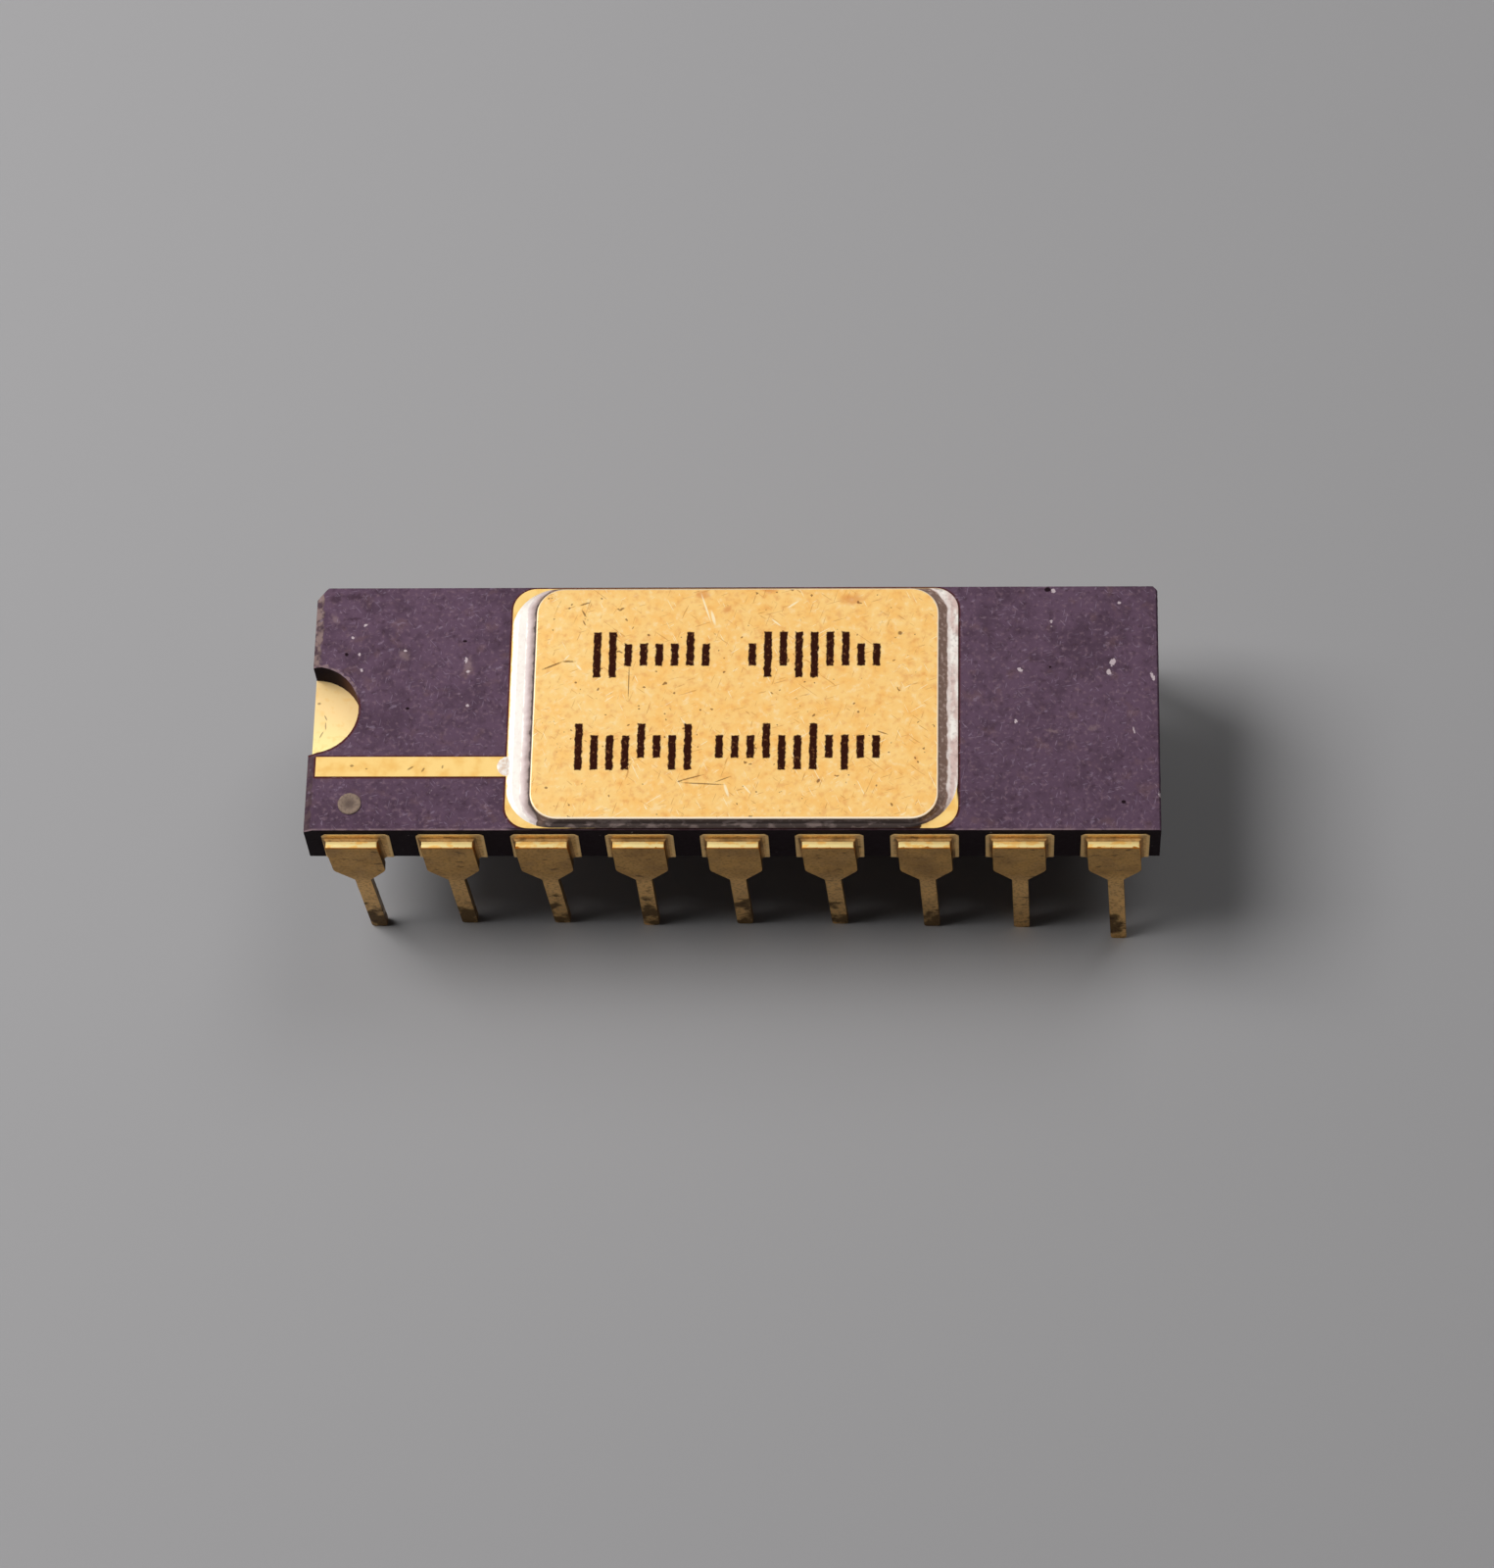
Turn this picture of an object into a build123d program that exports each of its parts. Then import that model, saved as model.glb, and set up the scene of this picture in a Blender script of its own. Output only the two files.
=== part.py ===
from build123d import *
import os
from math import degrees

# A ceramic dual in-line package for one silicon chip: eighteen flat leads are brazed to its long sides, and
# a metal lid is soldered over the cavity that holds the chip and its bond wires.
# Sizes are in millimetres. The lead tips stand on z = 0, under the middle of the lead rows. +X runs away
# from the notched end, pins 1 to 9 stand along the -Y side from left to right, and +Z is up.

# Chip
DIE_LENGTH = 3.60
DIE_WIDTH = 2.90
DIE_THICKNESS = 0.38
DIE_ATTACH_FILM = 0.03
DIE_ATTACH_BORDER = 0.06
BOND_PAD = 0.13
BOND_PAD_FILM = 0.01
BOND_PAD_INSET = 0.12

# Ceramic: three layers of tape, printed with metal and fired into one body
BASE_LAYER = 0.75
SHELF_LAYER = 0.40
RING_LAYER = 0.50
DIE_END_CLEARANCE = 0.80
DIE_SIDE_CLEARANCE = 0.35
CAVITY_RADIUS = 0.30
SHELF_END_WIDTH = 1.60
SHELF_SIDE_WIDTH = 0.70
WINDOW_RADIUS = 0.40
BODY_END_MARGIN = 1.29
BODY_SIDE_MARGIN = 0.05
BODY_SHIFT = -0.08
NOTCH_RADIUS = 1.31
NOTCH_SHIFT = -0.05
BEVEL_LENGTH = 0.24
BEVEL_DEPTH = 0.12
SMALL_BEVEL = 0.05
CHIPPED_CORNER = 0.31
WORN_CORNER = 0.12

# Printed metal, gold plated
METAL_FILM = 0.03
RING_INNER_SETBACK = 0.12
RING_RADIUS = 0.65
STRIPE_WIDTH = 0.585
STRIPE_TO_NOTCH = 0.12
FLOOR_METAL_SETBACK = 0.10
DOT_DIAMETER = 0.64
DOT_HEIGHT = 0.04
DOT_FROM_END = 1.21
DOT_FROM_SIDE = 0.78

# Lid, and the solder that seals it
LID_THICKNESS = 0.254
LID_LAND_END_WIDTH = 1.26
LID_LAND_SIDE_WIDTH = 0.95
LID_RADIUS = 0.75
LID_EDGE_RADIUS = 0.06
LID_SHIFT = 0.07
RING_FLANGE_END_WIDTH = 0.60
RING_FLANGE_SIDE_WIDTH = 0.15
SOLDER_FILM = 0.04
SOLDER_SETBACK = 0.01
SOLDER_CLIMB = 0.19
# The solder's hollow slope: share of the way in to the lid's wall, and height there
SOLDER_SLOPE = ((0.25, 0.05), (0.58, 0.085))
# How far it flowed into each corner of the ring: near left, near right, far right, far left
SOLDER_RADII = (1.25, 1.45, 0.64, 1.25)

# Leads, with the pads that they are brazed to
LEADS_PER_SIDE = 9
LEAD_PITCH = 2.54
LEAD_THICKNESS = 0.254
STANDOFF = 3.85
BLADE_WIDTH = 1.42
NEAR_BLADE_TOP_DROP = 0.485
FAR_BLADE_TOP_DROP = 0.60
SHOULDER_DROP = 0.30
SHOULDER_HEIGHT = 0.58
SHOULDER_RADIUS = 0.28
LEG_WIDTH = 0.44
TIP_RADIUS = 0.10
PAD_WIDTH = 1.83
PAD_TOP_DROP = 0.225
PAD_CORNER = 0.10
BRAZE_FILM = 0.02
BRAZE_FILLET = 0.08
# Handling has left the near row uneven: where each blade sits across its pad, and how far its tip has moved
# along X and outwards. The far row only leans, as the package does.
NEAR_BLADE_SHIFT = (-0.12, -0.09, -0.09, -0.03, -0.04, -0.04, -0.01, -0.03, -0.05)
NEAR_TIP_OFFSET = (0.14, 0.10, 0.13, 0.05, 0.09, 0.17, 0.16, 0.08, 0.19)
NEAR_TIP_SPLAY = (0.05, -0.05, -0.05, 0.02, -0.02, -0.02, 0.05, 0.08, 0.41)
FAR_BLADE_SHIFT = -0.05
FAR_TIP_OFFSET = 0.12

# Printed traces between the layers, from each pad in to its bond finger, and the wires that meet them
END_FINGERS = 2
TRACE_WIDTH = 0.28
TRACE_STUB = 0.35
TRACE_BEND_GAP = 0.25
FINGER_SETBACK = 0.08
BOND_ON_FINGER = 0.20
WIRE_DIAMETER = 0.05
WIRE_FACES = 5
WIRE_HEADROOM = 0.22
FOOT_LENGTH = 0.13
FOOT_WIDTH = 0.09
FOOT_HEIGHT = 0.03

# Worked out from the sizes above
CAVITY_LENGTH = DIE_LENGTH + 2 * DIE_END_CLEARANCE
CAVITY_WIDTH = DIE_WIDTH + 2 * DIE_SIDE_CLEARANCE
WINDOW_LENGTH = CAVITY_LENGTH + 2 * SHELF_END_WIDTH
WINDOW_WIDTH = CAVITY_WIDTH + 2 * SHELF_SIDE_WIDTH
LID_LENGTH = WINDOW_LENGTH + 2 * LID_LAND_END_WIDTH
LID_WIDTH = WINDOW_WIDTH + 2 * LID_LAND_SIDE_WIDTH
RING_LENGTH = LID_LENGTH + 2 * RING_FLANGE_END_WIDTH
RING_WIDTH = LID_WIDTH + 2 * RING_FLANGE_SIDE_WIDTH
BODY_WIDTH = RING_WIDTH + 2 * BODY_SIDE_MARGIN
BODY_LENGTH = (LEADS_PER_SIDE - 1) * LEAD_PITCH + 2 * BODY_END_MARGIN
BODY_LEFT = BODY_SHIFT - BODY_LENGTH / 2
BODY_RIGHT = BODY_SHIFT + BODY_LENGTH / 2
SIDE_Y = BODY_WIDTH / 2

UNDERSIDE = STANDOFF
FLOOR = UNDERSIDE + BASE_LAYER
SHELF = FLOOR + SHELF_LAYER
TOP = SHELF + RING_LAYER
RING_TOP = TOP + METAL_FILM
LID_BOTTOM = RING_TOP + SOLDER_FILM
DIE_BOTTOM = FLOOR + METAL_FILM + DIE_ATTACH_FILM
DIE_TOP = DIE_BOTTOM + DIE_THICKNESS

PAD_TOP = TOP - PAD_TOP_DROP
PAD_FACE_Y = SIDE_Y + METAL_FILM
BLADE_FACE_Y = PAD_FACE_Y + BRAZE_FILM
SHOULDER = UNDERSIDE - SHOULDER_DROP
NECK = SHOULDER - SHOULDER_HEIGHT
PIN_COUNT = 2 * LEADS_PER_SIDE


def plate(outline, bottom, thickness):
    """A flat sheet of that outline, which lies at the height bottom."""
    return extrude(Pos(0, 0, bottom) * outline, amount=thickness)


def pin_x(place):
    """Where the lead at that place in its row stands, 0 being the one beside the notched end."""
    return (place - (LEADS_PER_SIDE - 1) / 2) * LEAD_PITCH


def centred(place, count, span):
    """The middle of one of count equal cells along a side of that length."""
    return ((place + 0.5) / count - 0.5) * span


# Ceramic body

def ceramic_body(traces):
    """The fired body: the side view is extruded across, then cavity, notch and traces are cut."""
    side_view = Polygon(
        (BODY_LEFT, UNDERSIDE),
        (BODY_RIGHT, UNDERSIDE),
        (BODY_RIGHT, TOP - SMALL_BEVEL),
        (BODY_RIGHT - SMALL_BEVEL, TOP),
        (BODY_LEFT + BEVEL_LENGTH, TOP),
        (BODY_LEFT, TOP - BEVEL_DEPTH),
        align=None,
    )
    body = extrude(Plane.XZ * side_view, amount=SIDE_Y, both=True)
    far_corners = body.edges().filter_by(Axis.Z).group_by(Axis.Y)[-1].sort_by(Axis.X)
    body = chamfer(far_corners[0], CHIPPED_CORNER)
    body = chamfer(body.edges().filter_by(Axis.Z).group_by(Axis.Y)[-1].sort_by(Axis.X)[-1], WORN_CORNER)
    window = Pos(BODY_SHIFT, 0) * RectangleRounded(WINDOW_LENGTH, WINDOW_WIDTH, WINDOW_RADIUS)
    cavity = Pos(BODY_SHIFT, 0) * RectangleRounded(CAVITY_LENGTH, CAVITY_WIDTH, CAVITY_RADIUS)
    notch = Pos(BODY_LEFT, NOTCH_SHIFT) * Circle(NOTCH_RADIUS)
    body -= plate(window, SHELF, RING_LAYER)
    body -= plate(cavity, FLOOR, SHELF_LAYER)
    body -= plate(notch, FLOOR, TOP - FLOOR)
    return body - traces


def notch_floor():
    """The half disc of gold that shows at the bottom of the notch."""
    half_plane = Pos(NOTCH_RADIUS, 0) * Rectangle(2 * NOTCH_RADIUS, 2 * NOTCH_RADIUS)
    half_disc = Circle(NOTCH_RADIUS) & half_plane
    return plate(Pos(BODY_LEFT, NOTCH_SHIFT) * half_disc, FLOOR, METAL_FILM)


def pin_one_dot():
    """The printed spot over pin 1, a little proud of the ceramic, with a softened edge."""
    place = Pos(BODY_LEFT + DOT_FROM_END, DOT_FROM_SIDE - SIDE_Y)
    dot = plate(place * Circle(DOT_DIAMETER / 2), TOP, DOT_HEIGHT)
    return chamfer(dot.faces().sort_by(Axis.Z)[-1].edges(), DOT_HEIGHT / 2)


# Lid and its seal

def seal_ring():
    """The gold frame under the lid, printed in one with the stripe that runs to the notched end."""
    outer = Pos(BODY_SHIFT, 0) * RectangleRounded(RING_LENGTH, RING_WIDTH, RING_RADIUS)
    opening = Pos(BODY_SHIFT, 0) * RectangleRounded(
        WINDOW_LENGTH + 2 * RING_INNER_SETBACK,
        WINDOW_WIDTH + 2 * RING_INNER_SETBACK,
        WINDOW_RADIUS + RING_INNER_SETBACK,
    )
    stripe_start = BODY_LEFT + BEVEL_LENGTH
    stripe_length = BODY_SHIFT - stripe_start - RING_LENGTH / 2 + RING_RADIUS
    stripe_y = NOTCH_SHIFT - NOTCH_RADIUS - STRIPE_TO_NOTCH - STRIPE_WIDTH / 2
    stripe = Pos(stripe_start + stripe_length / 2, stripe_y) * Rectangle(stripe_length, STRIPE_WIDTH)
    return plate(outer + stripe - opening, TOP, METAL_FILM)


def lid_blank():
    """The lid's full block, before its top edge is rounded."""
    outline = Pos(BODY_SHIFT + LID_SHIFT, 0) * RectangleRounded(LID_LENGTH, LID_WIDTH, LID_RADIUS)
    return plate(outline, LID_BOTTOM, LID_THICKNESS)


def lid():
    """The stamped lid, with its rounded top edge."""
    blank = lid_blank()
    return fillet(blank.faces().sort_by(Axis.Z)[-1].edges(), LID_EDGE_RADIUS)


def frame_outline(length, width, radii):
    """A rectangle whose corners have those radii: near left, near right, far right, far left."""
    outline = Rectangle(length, width)
    for side_x, side_y, radius in zip((-1, 1, 1, -1), (-1, -1, 1, 1), radii):
        corner = outline.vertices().sort_by_distance((side_x * length / 2, side_y * width / 2))[0]
        outline = fillet(corner, radius)
    return outline


def solder_seal():
    """The solder between lid and ring, with its hollow slope from the ring's edge up to the lid's wall."""
    outer = (RING_LENGTH - 2 * SOLDER_SETBACK, RING_WIDTH - 2 * SOLDER_SETBACK, BODY_SHIFT, *SOLDER_RADII)
    inner = (LID_LENGTH, LID_WIDTH, BODY_SHIFT + LID_SHIFT, *[LID_RADIUS] * len(SOLDER_RADII))
    sections = []
    for share, height in ((0, 0), *SOLDER_SLOPE, (1, SOLDER_FILM + SOLDER_CLIMB)):
        length, width, x, *radii = (a + (b - a) * share for a, b in zip(outer, inner))
        sections.append(Pos(x, 0, RING_TOP + height) * frame_outline(length, width, radii))
    opening = Pos(BODY_SHIFT, 0) * RectangleRounded(
        WINDOW_LENGTH + 2 * RING_INNER_SETBACK,
        WINDOW_WIDTH + 2 * RING_INNER_SETBACK,
        WINDOW_RADIUS + RING_INNER_SETBACK,
    )
    return loft(sections, ruled=True) - lid_blank() - plate(opening, RING_TOP, SOLDER_FILM)


# Leads

def near_side_pad(place):
    """The plated pad on the -Y side that one lead is brazed to. It reaches the ceramic's lower edge."""
    height = PAD_TOP - UNDERSIDE
    outline = Rectangle(PAD_WIDTH, height)
    outline = chamfer(outline.vertices().group_by(Axis.Y)[-1], PAD_CORNER)
    side_face = Plane.XZ.offset(SIDE_Y) * Pos(pin_x(place), UNDERSIDE + height / 2)
    return extrude(side_face * outline, amount=METAL_FILM)


def near_row(place):
    """How that lead of the near row sits: its top, its blade's shift, and its tip's lean and splay."""
    habits = (NEAR_BLADE_SHIFT, NEAR_TIP_OFFSET, NEAR_TIP_SPLAY)
    return (TOP - NEAR_BLADE_TOP_DROP, *[values[place % len(values)] for values in habits])


def blade_drift(z, top, shift, lean):
    """How far along X a lead's middle line is from its pin's place, at the height z."""
    return shift + (lean - shift) * (top - z) / top


def near_lead(place, top, shift, lean, splay):
    """One lead of the -Y row: a flat blade with rounded shoulders, and the leg that stands on the table."""
    left, right = [], []
    for width, z in ((BLADE_WIDTH, top), (BLADE_WIDTH, SHOULDER), (LEG_WIDTH, NECK)):
        middle = pin_x(place) + blade_drift(z, top, shift, lean)
        left.append((middle - width / 2, z))
        right.insert(0, (middle + width / 2, z))
    outline = Polygon(*left, *right, align=None)
    shoulders = [v for v in outline.vertices() if abs(v.Y - SHOULDER) < SHOULDER_RADIUS / 10]
    outline = fillet(shoulders, SHOULDER_RADIUS)
    blade = extrude(Plane.XZ.offset(BLADE_FACE_Y) * outline, amount=LEAD_THICKNESS)
    neck_x = pin_x(place) + blade_drift(NECK, top, shift, lean)
    middle_y = -(BLADE_FACE_Y + LEAD_THICKNESS / 2)
    run = Vector(pin_x(place) + lean - neck_x, -splay, -NECK)
    section = Pos(neck_x, middle_y, NECK) * Rectangle(LEG_WIDTH, LEAD_THICKNESS)
    leg = extrude(section, amount=run.length, dir=run)
    leg = fillet(leg.edges().filter_by(Axis.Y).group_by(Axis.Z)[0], TIP_RADIUS)
    return blade + leg


def near_braze(place, top, shift, lean):
    """The braze behind one blade, with the hollow fillet that it leaves along the blade's three edges."""
    half = BLADE_WIDTH / 2
    foot_x = pin_x(place) + blade_drift(UNDERSIDE, top, shift, lean)
    head_x = pin_x(place) + blade_drift(top, top, shift, lean)
    corners = [
        (foot_x - half, UNDERSIDE),
        (head_x - half, top),
        (head_x + half, top),
        (foot_x + half, UNDERSIDE),
    ]
    behind_blade = Polygon(*reversed(corners), align=None)
    film = extrude(Plane.XZ.offset(PAD_FACE_Y) * behind_blade, amount=BRAZE_FILM)
    path = Polyline(*[(x, -PAD_FACE_Y, z) for x, z in corners])
    deepest = BRAZE_FILLET * (1 - 0.5 ** 0.5)
    edge = Line((0, 0), (BRAZE_FILLET, 0))
    edge += ThreePointArc((BRAZE_FILLET, 0), (deepest, deepest), (0, BRAZE_FILLET))
    edge += Line((0, BRAZE_FILLET), (0, 0))
    section = Plane(origin=path @ 0, x_dir=(-1, 0, 0), z_dir=path % 0) * make_face(edge)
    return film + sweep(section, path, transition=Transition.RIGHT)


# Traces, chip and wires

def finger_bend_and_tip(place):
    """Where a near-row trace turns to its bond finger, and where the finger ends, seen from above."""
    from_end = min(place, LEADS_PER_SIDE - 1 - place)
    side = 1 if place > from_end else -1
    if from_end < END_FINGERS:
        y = centred(END_FINGERS - 1 - from_end, 2 * END_FINGERS, CAVITY_WIDTH)
        bend_x = BODY_SHIFT + side * (WINDOW_LENGTH / 2 + TRACE_BEND_GAP)
        return (bend_x, y), (BODY_SHIFT + side * (CAVITY_LENGTH / 2 + FINGER_SETBACK), y)
    x = BODY_SHIFT + centred(place - END_FINGERS, LEADS_PER_SIDE - 2 * END_FINGERS, CAVITY_LENGTH)
    return (x, -(WINDOW_WIDTH / 2 + TRACE_BEND_GAP)), (x, -(CAVITY_WIDTH / 2 + FINGER_SETBACK))


def near_trace(place):
    """The printed line from one near pad, in under the ring layer, to the bond finger on the shelf."""
    bend, tip = finger_bend_and_tip(place)
    x = pin_x(place)
    route = Polyline((x, -SIDE_Y), (x, TRACE_STUB - SIDE_Y), bend, tip)
    return plate(trace(route, TRACE_WIDTH), SHELF, METAL_FILM)


def chip_and_finger_bonds(place):
    """Where a near-row wire lands on the chip's bond pad, and on its finger, as seen from above."""
    bend, tip = finger_bend_and_tip(place)
    along = Vector(bend[0] - tip[0], bend[1] - tip[1]).normalized()
    finger = Vector(*tip) + along * BOND_ON_FINGER
    from_end = min(place, LEADS_PER_SIDE - 1 - place)
    edge_x = DIE_LENGTH / 2 - BOND_PAD_INSET
    edge_y = DIE_WIDTH / 2 - BOND_PAD_INSET
    if from_end < END_FINGERS:
        y = centred(END_FINGERS - 1 - from_end, 2 * END_FINGERS, DIE_WIDTH)
        return Vector(BODY_SHIFT + along.X * edge_x, y), finger
    x = BODY_SHIFT + centred(place - END_FINGERS, LEADS_PER_SIDE - 2 * END_FINGERS, DIE_LENGTH)
    return Vector(x, -edge_y), finger


def near_bond_pad(place):
    """The small metal square on the chip that one wire is bonded to."""
    chip_bond, _ = chip_and_finger_bonds(place)
    return plate(Pos(chip_bond.X, chip_bond.Y) * Rectangle(BOND_PAD, BOND_PAD), DIE_TOP, BOND_PAD_FILM)


def near_wire(place):
    """One bond wire: an arch between two flattened feet, on the chip and on the finger. It has few faces,
    because it is as fine as a hair and there is one for every pin."""
    chip_bond, finger_bond = chip_and_finger_bonds(place)
    chip_z = DIE_TOP + BOND_PAD_FILM
    finger_z = SHELF + METAL_FILM
    radius = WIRE_DIAMETER / 2
    start = Vector(chip_bond.X, chip_bond.Y, chip_z + radius)
    end = Vector(finger_bond.X, finger_bond.Y, finger_z + radius)
    crown = (start + end) / 2
    crown.Z = LID_BOTTOM - WIRE_HEADROOM - radius
    arch = ThreePointArc(start, crown, end)
    section = Plane(origin=start, z_dir=arch % 0) * RegularPolygon(radius, WIRE_FACES)
    turned = degrees(arch.length / arch.radius)
    wire = revolve(section, Axis(arch.arc_center, arch.normal()), revolution_arc=turned)
    turn = Vector(1, 0).get_signed_angle(Vector(end.X - start.X, end.Y - start.Y))
    for bond, z in ((chip_bond, chip_z), (finger_bond, finger_z)):
        foot = Pos(bond.X, bond.Y) * Rot(0, 0, turn) * Rectangle(FOOT_LENGTH, FOOT_WIDTH)
        wire += plate(foot, z, FOOT_HEIGHT)
    return wire


def chip_pieces():
    """The metal on the cavity's floor, the film that holds the chip, and the chip."""
    floor_metal = Rectangle(CAVITY_LENGTH - 2 * FLOOR_METAL_SETBACK, CAVITY_WIDTH - 2 * FLOOR_METAL_SETBACK)
    film = Rectangle(DIE_LENGTH + 2 * DIE_ATTACH_BORDER, DIE_WIDTH + 2 * DIE_ATTACH_BORDER)
    middle = Pos(BODY_SHIFT, 0)
    return {
        "die_pad": plate(middle * floor_metal, FLOOR, METAL_FILM),
        "die_attach": plate(middle * film, FLOOR + METAL_FILM, DIE_ATTACH_FILM),
        "die": plate(middle * Rectangle(DIE_LENGTH, DIE_WIDTH), DIE_BOTTOM, DIE_THICKNESS),
    }


# The whole package

def both_rows(near_piece):
    """One solid for each pin, in pin order: the near row, then the far row, mirrored, from the right."""
    near = [near_piece(place) for place in range(LEADS_PER_SIDE)]
    far = [mirror(piece, about=Plane.XZ) for piece in reversed(near)]
    return near + far


def package():
    """Every node's name and its solids."""
    traces = both_rows(near_trace)
    nodes = {
        "ceramic_body": [ceramic_body(traces)],
        "notch_floor": [notch_floor()],
        "pin_one_dot": [pin_one_dot()],
        "seal_ring": [seal_ring()],
        "solder_seal": [solder_seal()],
        "lid": [lid()],
        "side_pads": both_rows(near_side_pad),
        "inner_traces": traces,
        "chip_bond_pads": both_rows(near_bond_pad),
    }
    nodes.update({name: [piece] for name, piece in chip_pieces().items()})

    far_row = (TOP - FAR_BLADE_TOP_DROP, FAR_BLADE_SHIFT, FAR_TIP_OFFSET, 0)
    leads = [near_lead(place, *near_row(place)) for place in range(LEADS_PER_SIDE)]
    brazes = [near_braze(place, *near_row(place)[:3]) for place in range(LEADS_PER_SIDE)]
    for place in reversed(range(LEADS_PER_SIDE)):
        leads.append(mirror(near_lead(place, *far_row), about=Plane.XZ))
        brazes.append(mirror(near_braze(place, *far_row[:3]), about=Plane.XZ))
    nodes["braze_fillets"] = brazes
    wires = both_rows(near_wire)
    for pin in range(PIN_COUNT):
        nodes[f"lead_{pin + 1:02d}"] = [leads[pin]]
        nodes[f"bond_wire_{pin + 1:02d}"] = [wires[pin]]
    return nodes


os.makedirs("parts", exist_ok=True)
for name, pieces in package().items():
    shape = pieces[0] if len(pieces) == 1 else Compound(children=pieces)
    export_step(shape, f"parts/{name}.step")
    print(name, len(pieces), "piece" if len(pieces) == 1 else "pieces")
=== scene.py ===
# %% [markdown]
# # A ceramic chip package with gold-plated leads
#
# The object is a dual in-line package from the years when chips still travelled in fired ceramic: a
# violet alumina body, a gold-plated lid soldered over the cavity, and eighteen flat leads brazed to
# pads on its sides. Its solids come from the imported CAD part, which is the frame. This lesson gives
# every one of them the finish that the real one has, and models again, in finer form, the pieces
# whose edges catch the light.

# %% Load the CAD frame
import math

import bpy
from mathutils import Matrix, Vector


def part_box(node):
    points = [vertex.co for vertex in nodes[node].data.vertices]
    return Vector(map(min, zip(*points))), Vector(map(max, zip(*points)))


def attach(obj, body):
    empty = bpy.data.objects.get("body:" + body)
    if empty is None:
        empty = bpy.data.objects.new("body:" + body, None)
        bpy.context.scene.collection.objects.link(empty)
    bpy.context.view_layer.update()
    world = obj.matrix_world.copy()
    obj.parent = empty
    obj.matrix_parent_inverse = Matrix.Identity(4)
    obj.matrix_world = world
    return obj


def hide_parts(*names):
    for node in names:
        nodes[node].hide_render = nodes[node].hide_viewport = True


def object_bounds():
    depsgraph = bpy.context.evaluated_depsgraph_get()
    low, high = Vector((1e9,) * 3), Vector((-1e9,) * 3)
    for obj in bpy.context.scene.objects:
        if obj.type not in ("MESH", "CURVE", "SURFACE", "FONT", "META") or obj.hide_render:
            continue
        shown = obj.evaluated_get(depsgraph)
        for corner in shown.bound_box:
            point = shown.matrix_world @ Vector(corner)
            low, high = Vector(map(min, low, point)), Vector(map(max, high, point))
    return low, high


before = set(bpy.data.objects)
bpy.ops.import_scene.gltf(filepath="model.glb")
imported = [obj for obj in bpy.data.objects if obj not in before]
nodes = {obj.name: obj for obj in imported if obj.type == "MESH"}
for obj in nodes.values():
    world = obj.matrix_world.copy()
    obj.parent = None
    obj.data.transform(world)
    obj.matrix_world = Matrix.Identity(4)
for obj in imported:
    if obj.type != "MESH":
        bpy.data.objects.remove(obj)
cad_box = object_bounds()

MM = 0.001


def in_millimetres(box):
    """A box's lowest and highest corner, given in metres, in millimetres."""
    return [[side / MM for side in corner] for corner in box]


print("CAD nodes:", len(nodes))
for corner in in_millimetres(cad_box):
    print("corner of the box in mm:", [round(side, 2) for side in corner])

# %% [markdown]
# ## The camera
#
# The photograph was taken from above the near row of leads, 64 degrees up. The camera below stands
# where a pinhole camera has to stand for the corners of the nine pads and of the ceramic to fall
# where they fall in the picture. Blender's lens length follows from the focal length in pixels,
# because the sensor's 36 mm lie along the picture's longer side.

# %% Place the camera
PICTURE_HEIGHT = 1600
FOCAL_PIXELS = 5231.5
SENSOR = 36
CAMERA_PLACE = Vector((6.765, -61.207, 129.083)) * MM
CAMERA_ELEVATION = 1.1236
CAMERA_YAW = -0.1087
CAMERA_ROLL = -0.0990


def camera_matrix():
    """Where the camera stands, with its own X to the right, Y up the picture and Z towards the eye."""
    forward = Vector((
        math.sin(CAMERA_YAW) * math.cos(CAMERA_ELEVATION),
        math.cos(CAMERA_YAW) * math.cos(CAMERA_ELEVATION),
        -math.sin(CAMERA_ELEVATION),
    ))
    level = Vector((math.cos(CAMERA_YAW), -math.sin(CAMERA_YAW), 0))
    upright = level.cross(forward)
    across = math.cos(CAMERA_ROLL) * level + math.sin(CAMERA_ROLL) * upright
    up = -math.sin(CAMERA_ROLL) * level + math.cos(CAMERA_ROLL) * upright
    turn = Matrix((across, up, -forward)).transposed()
    return Matrix.Translation(CAMERA_PLACE) @ turn.to_4x4()


bpy.ops.object.camera_add()
camera = bpy.context.object
camera.matrix_world = camera_matrix()
camera.data.sensor_width = SENSOR
camera.data.lens = SENSOR * FOCAL_PIXELS / PICTURE_HEIGHT
camera.data.clip_start = 5 * MM
bpy.context.scene.camera = camera
print("lens", round(camera.data.lens, 2), "mm")

# %% [markdown]
# ## Floor and light
#
# The floor is a plain pale sheet, just big enough to fill the picture. The main lamp hangs behind the
# package on the left, near enough for the light to fall off to the right, and the soft shadow falls
# to the right and towards the eye. A weaker one behind on the right lightens that shadow and draws a
# longer, softer one in front. Both are left out of mirrored rays: metal would show them as burnt-out
# patches. A wide, dim panel on the left gives the metal something to mirror instead. The world adds a
# little, evenly, and is brighter for mirrored rays, because metal shows what stands round it.

# %% Lay the floor
FLOOR_SIZE = 1.2
FLOOR_COLOUR = (0.325, 0.32, 0.325, 1)
FLOOR_ROUGHNESS = 0.9
FLOOR_SPECULAR = 0.05


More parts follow.
